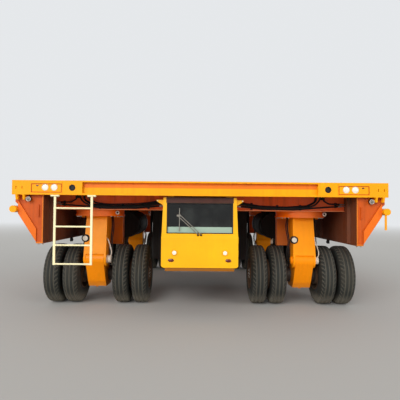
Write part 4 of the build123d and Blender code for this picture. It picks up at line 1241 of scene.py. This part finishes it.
@dataclass
class Cab:
    """Window seals, the band at the screen's foot, the wiper, the door's handle and the dash."""

    crease_high: float = 1.336
    screen_top: float = 1.829
    screen: Pair = (1.072, 0.4936)
    foot_back: float = 0.055
    lean: float = 0.025
    half_width: float = 0.614
    half_top: float = 0.592
    roof: float = 1.920
    back: float = 1.980
    corner: float = 0.012
    rear_window: Point = (0.760, 0.365, 1.5305)
    side_window: tuple[float, ...] = (-3.122, -2.160, 1.290, 1.771)
    door_window: tuple[float, ...] = (-3.122, -2.558, 1.290, 1.630)
    seal: tuple[Pair, ...] = ((-0.015, -0.0155), (-0.0006, -0.0155), (-0.0006, 0.002),
                              (-0.004, 0.004), (-0.015, 0.001))
    band: tuple[Point, Point] = ((-0.532, -0.001, 1.3385), (0.532, 0.0, 1.443))
    band_depth: float = 0.0145
    arm_slope: Point = (0.0, -0.795, 0.607)
    spindle: Pair = (-3.2964, 1.308)
    arms: tuple[Point, ...] = ((-0.029, -0.349, 1.612), (0.021, -0.318, 1.632))
    # The painted shade over the windscreen: its half width, its foot and its top.
    strip: Point = (0.545, 1.8295, 1.9195)
    gusset_bolt: Point = (0.690, -3.2099, 1.8655)
    handle: Pair = (-2.575, 1.215)
    dash_front: Pair = (-3.195, 1.284)
    dash_back: Pair = (-3.030, 1.204)
    dash_up: Point = (0, 0.436, 0.9)
    dials: Pair = (-0.06, 0.06)
    dial_radius: float = 0.038
    switch_rows: Pair = (0.16, -0.27)
    switch_step: float = 0.035

    def screen_y(self, z: float, proud: float = 0.0) -> float:
        """Return the windscreen wall's outer face at a height, brought forward by proud."""
        rise = (z - self.crease_high) / (self.screen_top - self.crease_high)
        return -CAB_FRONT + self.foot_back + self.lean * rise - proud

    def side_x(self, z: float) -> float:
        """Return the side wall's outer face at a height above the crease."""
        rise = np.clip((z - self.crease_high) / (self.roof - self.crease_high), 0, None)
        return float(self.half_width - (self.half_width - self.half_top) * rise)

    def seals(self) -> None:
        """Seal the windscreen, the rear window, the side window and the door's window."""
        section = np.array(self.seal)
        body, door = Batch(), Batch()
        middle = (self.crease_high + self.screen_top) / 2
        up = unit((0.0, self.lean, self.screen_top - self.crease_high))
        frames = [(body, self.screen, (0, self.screen_y(middle), middle), (1, 0, 0), up),
                  (body, self.rear_window[:2], (0, -self.back, self.rear_window[2]),
                   (-1, 0, 0), UP)]
        for batch, side, (y0, y1, z0, z1) in ((body, -1, self.side_window),
                                              (door, 1, self.door_window)):
            low, high = side * self.side_x(z0), side * self.side_x(z1)
            rise = np.array([high - low, 0.0, z1 - z0])
            origin = ((low + high) / 2, (y0 + y1) / 2, (z0 + z1) / 2)
            size = (y1 - y0, float(np.linalg.norm(rise)))
            frames.append((batch, size, origin, (0, side, 0), unit(rise)))
        for batch, (wide, tall), origin, across, up in frames:
            batch.add(*round_frame(wide, tall, self.corner, section, origin, across, up))
        body.piece("window_seals", LOOM, "black_rubber")
        door.piece("door_window_seal", LOOM, "black_rubber", "door")

    def on_screen(self, batch: Batch, low: Point, high: Point, proud: float) -> None:
        """Add a block to a batch, sheared so that it lies along the leaning windscreen."""
        points, faces = block_form(low, high)
        points[:, 1] += np.array([self.screen_y(z, proud) for z in points[:, 2]])
        batch.add(points, faces)

    def screen_band(self) -> None:
        """Lay the pale band over the foot of the windscreen, just in front of the glass."""
        band = Batch()
        self.on_screen(band, *self.band, -self.band_depth)
        band.piece("screen_band", BAND, "cab_paint")

    def wiper(self) -> None:
        """Stand the wiper's two arms on their spindles, with the blade upright on the glass."""
        metal, rubber = Batch(), Batch()
        foot = 1.322
        for x, tip_x, tip_z in self.arms:
            rubber.turn(dome_profile(0.015, 0.022, 0.005), 20, (x, *self.spindle), self.arm_slope)
            knee = foot + (tip_z - foot) * 0.10 / (x - tip_x)
            stops = [(x, self.screen_y(1.33, 0.030), foot),
                     (x - 0.10, self.screen_y(1.42, 0.022), knee),
                     (tip_x, self.screen_y(tip_z, 0.016), tip_z)]
            metal.hose(stops, 0.0065, 8)
        for low, high, batch in (((-0.372, -0.006, 1.612), (-0.310, 0.006, 1.640), metal),
                                 ((-0.336, -0.005, 1.372), (-0.324, 0.004, 1.743), metal),
                                 ((-0.333, 0.003, 1.374), (-0.327, 0.0105, 1.741), rubber)):
            self.on_screen(batch, low, high, 0.008)
        metal.piece("wiper_arms", WIPER, "axle_steel")
        rubber.piece("wiper_rubber", LOOM, "black_rubber")

    def header(self) -> None:
        """Lay a dark brown sheet on the strip over the windscreen as painted shade of the edge
        beam's overhang, with a bolt at each side of it.
        """
        strip, bolts = Batch(), Batch()
        half, low, high = self.strip
        wall = self.screen_y(self.screen_top)
        strip.block((-half, wall - SKIN[1], low), (half, wall - SKIN[0], high))
        strip.piece("screen_header_shade", HEADER_SHADE, "cab_paint")
        x, y, z = self.gusset_bolt
        for side in SIDES:
            bolts.turn(dome_profile(0.011, 0.007, 0.005), 20, (side * x, y, z), FORWARD)
        bolts.piece("gusset_bolts", PALE, "cab_paint")

    def door_handle(self) -> None:
        """Set the door's handle: a dark cup under a bar on two feet."""
        x, (y, z) = self.half_width, self.handle
        handle = Batch()
        handle.block((x + 0.0003, y - 0.075, z - 0.030), (x + 0.004, y + 0.045, z + 0.030))
        bar = ((0.003, -0.062), (0.022, -0.052), (0.026, -0.015), (0.022, 0.022), (0.003, 0.032))
        handle.hose([(x + out, y + along, z) for out, along in bar], 0.007)
        handle.piece("door_handle", BLACK, "console_plastic", "door")

    def dash(self) -> None:
        """Set two round gauges and two rows of four switches on the dash."""
        switches, dials = Batch(), Batch()
        front, back = np.array(self.dash_front), np.array(self.dash_back)
        y, z = front + (back - front) * 0.42
        radius = self.dial_radius
        for x in self.dials:
            bezel = ring_profile(radius, radius + 0.008, 0.010, 0.003)
            switches.turn(bezel, 28, (x, y, z), self.dash_up)
            dials.turn([(radius, 0.003), (0.0, 0.003)], 28, (x, y, z), self.dash_up)
        y, z = (front + back) / 2
        for start in self.switch_rows:
            for x in start + self.switch_step * np.arange(4):
                switches.block((x, y - 0.012, z - 0.004), (x + 0.022, y + 0.012, z + 0.012))
        switches.piece("dash_switches", GREY, "console_plastic")
        dials.piece("dash_dials", PALE, "console_plastic")

    def build(self) -> None:
        """Make the cab's trim."""
        for step in (self.seals, self.screen_band, self.wiper, self.header, self.door_handle,
                     self.dash):
            step()


# Driver's seat


def points_of(mesh: bpy.types.Mesh) -> np.ndarray:
    """Return a mesh's points as an (n, 3) array."""
    points = np.empty(3 * len(mesh.vertices), dtype=np.float32)
    mesh.vertices.foreach_get("co", points)
    return points.reshape(-1, 3)


@dataclass
class DriverSeat:
    """The driver's seat: a stuffed squab and back with sewn channels."""

    squab_middle: Point = (0.0, -2.500, 1.222)
    squab_size: Point = (0.490, 0.470, 0.098)
    back_middle: Point = (0.0, -2.222, 1.520)
    back_size: Point = (0.460, 0.098, 0.620)
    boxiness: float = 0.3
    cap: float = 0.022
    grain: float = 0.006
    pressure: float = 4.0
    frames: int = 20

    def form(self, size: Point, middle: Point) -> Form:
        """Return a boxy superellipsoid.

        At angles u and v a coordinate is half the size times cos or sin of each angle, with its
        size raised to the power of the boxiness, which squares the pad and rounds its edges.

        Args:
            size: the pad's width, depth and height.
            middle: the pad's middle.

        Returns:
            Points and quads.
        """
        around, rows = 64, 33
        u = np.linspace(0, 2 * math.pi, around, endpoint=False)[None]
        v = np.linspace(-math.pi / 2, math.pi / 2, rows)[:, None]

        def squared(value: np.ndarray) -> np.ndarray:
            """Keep a value's sign and raise its size to the power."""
            return np.sign(value) * np.abs(value) ** self.boxiness

        half = np.asarray(size) / 2
        points = np.stack([
            half[0] * squared(np.cos(v)) * squared(np.cos(u)),
            half[1] * squared(np.cos(v)) * squared(np.sin(u)),
            half[2] * squared(np.sin(v)) + 0 * u,
        ], axis=-1)
        return points + np.asarray(middle), grid_faces(rows, around, False, True)

    def pad(self, name: str, size: Point, middle: Point, along: int) -> None:
        """Make one pad, stuff it with the cloth solver and hide the seat's solid.

        Args:
            name: the pad's name.
            size: the pad's size before it swells.
            middle: the pad's middle.
            along: the axis that the sewn channels run across.
        """
        batch = Batch()
        batch.add(*self.form(size, middle))
        piece = batch.piece(name, FABRIC, "seat_fabric", smooth=True)
        remesh = piece.modifiers.new("even", "REMESH")
        remesh.mode, remesh.voxel_size = "VOXEL", self.grain
        self.apply(piece)
        self.stuff(piece, middle, size, along)
        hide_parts("driver_seat")

    def apply(self, piece: bpy.types.Object) -> np.ndarray:
        """Bake a piece's modifiers into its mesh and return its points."""
        graph = bpy.context.evaluated_depsgraph_get()
        baked = bpy.data.meshes.new_from_object(piece.evaluated_get(graph))
        piece.modifiers.clear()
        piece.data = baked
        baked.polygons.foreach_set("use_smooth", np.ones(len(baked.polygons), dtype=bool))
        return points_of(baked)

    def stuff(self, piece: bpy.types.Object, middle: Point, size: Point, along: int) -> None:
        """Swell a pad between its sewn channels, which stay where they are, and cap its travel.

        Args:
            piece: the pad.
            middle: the pad's middle.
            size: the pad's size before it swells.
            along: the axis that the sewn channels run across.
        """
        start = points_of(piece.data)
        reach = (start[:, along] - middle[along]) / size[along]
        sewn = np.flatnonzero(np.abs(np.abs(reach) - 1 / 6) < 0.6 * self.grain / size[along])
        group = piece.vertex_groups.new(name="sewn")
        group.add(sewn.tolist(), 1.0, "REPLACE")
        cloth = piece.modifiers.new("cloth", "CLOTH")
        cloth.settings.use_pressure = True
        cloth.settings.uniform_pressure_force = self.pressure
        cloth.settings.vertex_group_mass = "sewn"
        cloth.settings.effector_weights.gravity = 0.0
        cloth.point_cache.frame_start, cloth.point_cache.frame_end = 1, self.frames
        for step in range(1, self.frames + 1):
            bpy.context.scene.frame_set(step)
        travel = self.apply(piece) - start
        bpy.context.scene.frame_set(1)
        length = np.linalg.norm(travel, axis=1, keepdims=True)
        capped = start + travel * np.minimum(1.0, self.cap / np.maximum(length, 1e-9))
        flat = np.ascontiguousarray(capped, dtype=np.float32).ravel()
        piece.data.vertices.foreach_set("co", flat)
        piece.data.update()

    def build(self) -> None:
        """Make the squab and the back."""
        self.pad("seat_squab", self.squab_size, self.squab_middle, 1)
        self.pad("seat_back", self.back_size, self.back_middle, 2)


# Deck fittings and units


@dataclass(frozen=True)
class LoomHose:
    """A hose beside the front cross beam's looms: its x and z at each bend, at one y."""

    radius: float
    y: float
    sides: tuple[int, ...]
    route: tuple[Pair, ...]


@dataclass(frozen=True)
class LoomPipe:
    """A pipe from a loom's end to the part that it serves: its x and z at both ends, at one y."""

    y: float
    loom: float
    start: Pair
    end: Pair


LOOM_HOSES = (
    LoomHose(0.012, -2.7485, (-1,), (
        (0.600, 1.890), (0.72, 1.872), (0.88, 1.842), (1.05, 1.8225), (1.28, 1.814), (1.50, 1.808),
        (1.68, 1.815), (1.83, 1.840), (1.93, 1.910), (1.955, 2.010), (1.957, 2.1575))),
    LoomHose(0.014, -2.7800, SIDES, (
        (0.600, 1.840), (0.70, 1.822), (0.90, 1.790), (1.10, 1.768), (1.35, 1.760), (1.60, 1.758),
        (1.80, 1.772), (1.97, 1.812), (2.065, 1.900), (2.085, 2.010), (2.087, 2.1575))),
)
LOOM_PIPES = (
    LoomPipe(-2.752, 0.017, (0.690, 1.850), (0.600, 1.865)),
    LoomPipe(-2.748, 0.013, (0.690, 1.785), (0.604, 1.793)),
    LoomPipe(-2.752, 0.017, (2.030, 1.990), (2.032, 2.1575)),
    LoomPipe(-2.748, 0.013, (2.130, 2.010), (2.128, 2.1575)),
    LoomPipe(-2.748, 0.013, (2.420, 1.800), (2.517, 1.807)),
    LoomPipe(-2.748, 0.013, (2.450, 1.835), (2.517, 1.834)),
)


@dataclass
class Fittings:
    """Small steel parts on the frame, the ladder, the power pack and the tanks."""

    girder_foot: Point = (2.570, 3.278, 1.160)
    bracket: Point = (2.535, -1.79, 1.160)
    ladder_feet: Pair = (-2.318, -1.730)
    wing_first: float = 3.248
    wings: int = 6
    slope: tuple[Pair, Pair] = ((2.632, 1.190), (2.928, 1.638))
    bar_tall: float = 0.204
    web: Point = (1.878, 3.290, 2.062)
    web_top: float = 2.1438
    lip: float = 0.484
    lip_span: Pair = (0.642, 2.518)
    lip_height: Pair = (1.7105, 1.7215)
    pack_half: Pair = (1.050, 0.880)
    slat_low: float = 0.850
    slat_step: float = 0.070
    grilles: Pair = (-0.420, 0.420)
    grille_half: float = 0.308
    latches: Point = (-0.52, 0.0, 0.52)
    bearer_web: float = 0.767
    hose_starts: tuple[Pair, ...] = (
        (-0.797, 1.17), (-0.741, 1.17), (-0.685, 1.50), (-0.629, 1.50))
    hose_radius: float = 0.020
    tank: Point = (1.650, 0.750, 1.400)
    tank_ring: tuple[float, ...] = (0.262, 0.2895, 0.010, 0.004)
    tank_radius: float = 0.288
    filler: Point = (0.045, 0.030, 0.008)
    filler_y: float = -0.30
    filler_turn: float = 38.0

    def frame_bolts(self) -> None:
        """Bolt the girders' feet at each end and the ladder's feet to the beam."""
        bolts = Batch()
        x, y, z = self.girder_foot
        for side in SIDES:
            for end in ENDS.values():
                spots = [(side * (x + offset), end * (y - 0.030), z) for offset in (-0.035, 0.030)]
                bolts.bolts(spots, DOWN, 0.016, 0.020)
        spots = [(foot + offset, -3.325, 1.916)
                 for foot in self.ladder_feet for offset in (-0.048, 0.048)]
        bolts.bolts(spots, DOWN, 0.009, 0.010)
        bolts.piece("frame_bolts", ZINC, "frame_paint")

    def brackets(self) -> None:
        """Hang a small bracket with a lug under each girder."""
        x, y, z = self.bracket
        hanger = Batch()
        for side in SIDES:
            tab = side * x
            lug = side * (x - 0.026)
            hanger.block((tab - 0.020, y - 0.030, z - 0.075), (tab + 0.020, y + 0.030, z - 0.0003))
            hanger.block((lug - 0.006, y - 0.018, z - 0.060), (lug + 0.006, y + 0.018, z - 0.020))
        hanger.piece("girder_brackets", LOOM, "black_rubber")

    def bar_faces(self) -> None:
        """Face each wing's slope bar, a parallelogram that rises by the slope of the wing."""
        faces = Batch()
        (x0, z0), (x1, z1) = self.slope
        near, far = SKIN
        for y in np.linspace(-self.wing_first, self.wing_first, self.wings) - 0.030:
            for side in SIDES:
                points, quads = block_form((side * x0, y - far, z0),
                                           (side * x1, y - near, z0 + self.bar_tall))
                points[:, 2] += (np.abs(points[:, 0]) - x0) * (z1 - z0) / (x1 - x0)
                faces.add(points, quads)
        faces.piece("slope_bar_faces", BAR, "frame_paint")

    def web_strips(self) -> None:
        """Paint the top flanges' shadow on the edge beams' webs, as a deeper orange strip under
        each flange.
        """
        strips = Batch()
        x, y, z = self.web
        near, far = SKIN
        for end in ENDS.values():
            strips.block((-x, end * (y + near), z), (x, end * (y + far), self.web_top))
        strips.piece("web_strips", FLANGE_SHADE_PAINT, "beam_paint")

    def lip_highlights(self) -> None:
        """Face the thin edges of the cross beams' lower flanges with a pale colour: a painted
        highlight where the edges catch the light.
        """
        faces = Batch()
        (inner, outer), (low, high) = self.lip_span, self.lip_height
        near, far = SKIN
        front, rear = BOGIES[0].y, BOGIES[2].y
        for middle, start, finish in ((front, inner, outer), (front, -outer, -inner),
                                      (rear, -outer, outer)):
            for end in SIDES:
                faces.block((start, middle + end * (self.lip + near), low),
                            (finish, middle + end * (self.lip + far), high))
        faces.piece("lip_highlights", LIP_HIGHLIGHT, "frame_paint")

    def pack_trim(self) -> None:
        """Set slats in the power pack's grilles, and latches on its long sides."""
        x, y = self.pack_half
        slats, latches = Batch(), Batch()
        for side in SIDES:
            for z in self.slat_low + self.slat_step * np.arange(9):
                for middle in self.grilles:
                    near, far = middle - self.grille_half, middle + self.grille_half
                    points, faces = block_form((side * (x - 0.020), near, z - 0.012),
                                               (side * (x - 0.003), far, z - 0.008))
                    points[:, 2] += 0.018 * (np.abs(points[:, 0]) < x - 0.012)
                    slats.add(points, faces)
            for place in self.latches:
                latches.block((place - 0.03, side * y - 0.007, 1.18),
                              (place + 0.03, side * y + 0.007, 1.26))
        slats.piece("pack_slats", LOOM, "black_rubber")
        latches.piece("pack_latches", ZINC, "unit_paint")

    def loom_hoses(self) -> None:
        """Lay more hoses along the front cross beam, over and before its looms."""
        hoses = Batch()
        for hose in LOOM_HOSES:
            for side in hose.sides:
                hoses.hose([(side * x, hose.y, z) for x, z in hose.route], hose.radius)
        hoses.piece("loom_hoses", LOOM, "black_rubber", smooth=True)

    def loom_pipes(self) -> None:
        """Join each loom's end by a ferrule and a steel pipe to the part that it serves."""
        pipes = Batch()
        for side in SIDES:
            for pipe in LOOM_PIPES:
                start, finish = (np.array([side * x, pipe.y, z]) for x, z in (pipe.start, pipe.end))
                along = unit(finish - start)
                path = np.array([start, (start + finish) / 2, finish])
                pipes.add(*swept(path, 0.62 * pipe.loom, 10))
                ferrule = ring_profile(0.5 * pipe.loom, pipe.loom + 0.003, 0.036, 0.003)
                pipes.turn(ferrule, 24, start - 0.018 * along, along)
        pipes.piece("loom_pipes", ZINC, "axle_steel")

    def pack_hoses(self) -> None:
        """Lead thick hoses from a block on each side of the power pack to the long bearers."""
        hoses, blocks = Batch(), Batch()
        half = self.pack_half[0]
        out = half + 0.032
        for side in SIDES:
            for y, low in self.hose_starts:
                route = ((out, low), (out, (low + 1.60) / 2), (out, 1.60), (half + 0.012, 1.745),
                         (half - 0.040, 1.865), (half - 0.120, 1.955), (half - 0.205, 2.008),
                         (self.bearer_web + 0.001, 2.032))
                hoses.hose([(side * x, y, z) for x, z in route], self.hose_radius)
                blocks.block((side * (half + 0.0003), y - 0.026, low - 0.060),
                             (side * (half + 0.058), y + 0.026, low + 0.004))
        hoses.piece("pack_hoses", LOOM, "black_rubber", smooth=True)
        blocks.piece("pack_hose_blocks", UNIT, "unit_paint")

    def tank_trim(self) -> None:
        """Ring each tank's ends and cap its filler, which leans outwards."""
        trim = Batch()
        x, y, z = self.tank
        turn = math.radians(self.filler_turn)
        for side in SIDES:
            for end in SIDES:
                ring = ring_profile(*self.tank_ring)
                trim.turn(ring, 48, (side * x, end * y, z), (0, end, 0))
            out = np.array([side * math.sin(turn), 0.0, math.cos(turn)])
            spot = np.array([side * x, self.filler_y, z]) + self.tank_radius * out
            trim.turn(dome_profile(*self.filler), 28, spot, out)
        trim.piece("tank_trim", UNIT, "unit_paint")

    def build(self) -> None:
        """Make the frame's, power pack's and tanks' small parts."""
        for step in (self.frame_bolts, self.brackets, self.bar_faces, self.web_strips,
                     self.lip_highlights, self.pack_trim, self.loom_hoses, self.loom_pipes,
                     self.pack_hoses, self.tank_trim):
            step()


# Studio


@dataclass
class Studio:
    """The floor, the soft lights and the camera, none of them part of the transporter."""

    focal: float = 36.0
    sensor: float = 36.0
    eye: Point = (0.0, -9.714, 1.685)
    pitch: float = 1.72
    roll: float = -0.5
    backdrop: Colour = (0.90, 0.91, 0.92)
    floor_grey: Colour = (0.72, 0.715, 0.70)
    floor_half: float = 400.0
    sky: float = 0.55
    suns: tuple[tuple[str, Point, float], ...] = (
        ("key", (-2.5, -8.0, 4.2), 1.5), ("fill left", (-7.5, -6.0, 2.4), 0.8),
        ("fill right", (7.5, -6.0, 2.4), 0.8))
    spread: float = 30.0

    def floor(self) -> None:
        """Lay a wide pale floor that keeps shadows and fades into the backdrop far away."""
        half = self.floor_half
        corners = [(half * x, half * y, 0) for x, y in ((-1, -1), (1, -1), (1, 1), (-1, 1))]
        mesh = bpy.data.meshes.new("floor")
        mesh.from_pydata(corners, [], [(0, 1, 2, 3)])
        sheet = stand("floor", mesh)
        made, graph, shader = bare_material("floor_pale")
        graph.feed(shader, {"Base Color": linear(self.floor_grey), "Roughness": 0.9})
        away = graph.add("ShaderNodeVectorMath", {"operation": "LENGTH"}, {0: graph.place()})
        glow = graph.add("ShaderNodeEmission", None, {0: linear(self.backdrop), 1: 1.0})
        mix = graph.add("ShaderNodeMixShader", None, {
            0: graph.ramp(away.outputs["Value"], 14.0, 60.0), 1: shader.outputs[0],
            2: glow.outputs[0],
        })
        output = next(node for node in made.node_tree.nodes if node.type == "OUTPUT_MATERIAL")
        graph.feed(output, {0: mix.outputs[0]})
        mesh.materials.append(made)

    def world(self) -> None:
        """Light from an even sky that shows as pale grey to the camera."""
        world = bpy.data.worlds.new("studio")
        bpy.context.scene.world = world
        world.use_nodes = True
        world.node_tree.nodes.clear()
        graph = Graph(world.node_tree)
        rays = graph.add("ShaderNodeLightPath").outputs
        seen = graph.math("MAXIMUM", rays["Is Camera Ray"], rays["Is Transmission Ray"])
        seen = graph.math("MAXIMUM", seen, rays["Is Glossy Ray"])
        light = graph.add("ShaderNodeBackground", None, {0: (1.0, 1.0, 1.0, 1.0), 1: self.sky})
        show = graph.add("ShaderNodeBackground", None, {0: linear(self.backdrop), 1: 1.0})
        mix = graph.add("ShaderNodeMixShader", None, {
            0: seen, 1: light.outputs[0], 2: show.outputs[0],
        })
        graph.add("ShaderNodeOutputWorld", None, {0: mix.outputs[0]})

    def sun(self, name: str, place: Point, strength: float) -> None:
        """Shine one broad soft lamp from a direction, as through a large diffuser."""
        data = bpy.data.lights.new(name, "SUN")
        data.energy = strength
        data.angle = math.radians(self.spread)
        lamp = stand(name, data)
        lamp.location = place
        x, y, z = unit(place)
        lamp.rotation_euler = (math.acos(z), 0.0, math.atan2(x, -y))

    def camera(self) -> None:
        """Stand the camera where the photograph was taken from."""
        data = bpy.data.cameras.new("camera")
        data.lens, data.sensor_width, data.clip_end = self.focal, self.sensor, 2000.0
        camera = stand("camera", data)
        camera.rotation_mode = "XYZ"
        camera.location = self.eye
        camera.rotation_euler = (math.radians(90 + self.pitch), math.radians(self.roll), 0.0)
        bpy.context.scene.camera = camera

    def build(self) -> None:
        """Set the stage, the lights and the view."""
        self.floor()
        self.world()
        for name, place, strength in self.suns:
            self.sun(name, place, strength)
        self.camera()
        bpy.context.scene.view_settings.view_transform = "Standard"


def main() -> None:
    """Build every sub-assembly in order."""
    logging.basicConfig(level=logging.INFO, format="%(message)s")
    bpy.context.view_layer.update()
    dress_nodes()
    for assembly in (Tyres(), Bogies(), Lamps(), Cab(), DriverSeat(), Fittings(), Studio()):
        assembly.build()
        log.info("%s is done", type(assembly).__name__)


if __name__ == "__main__":
    main()
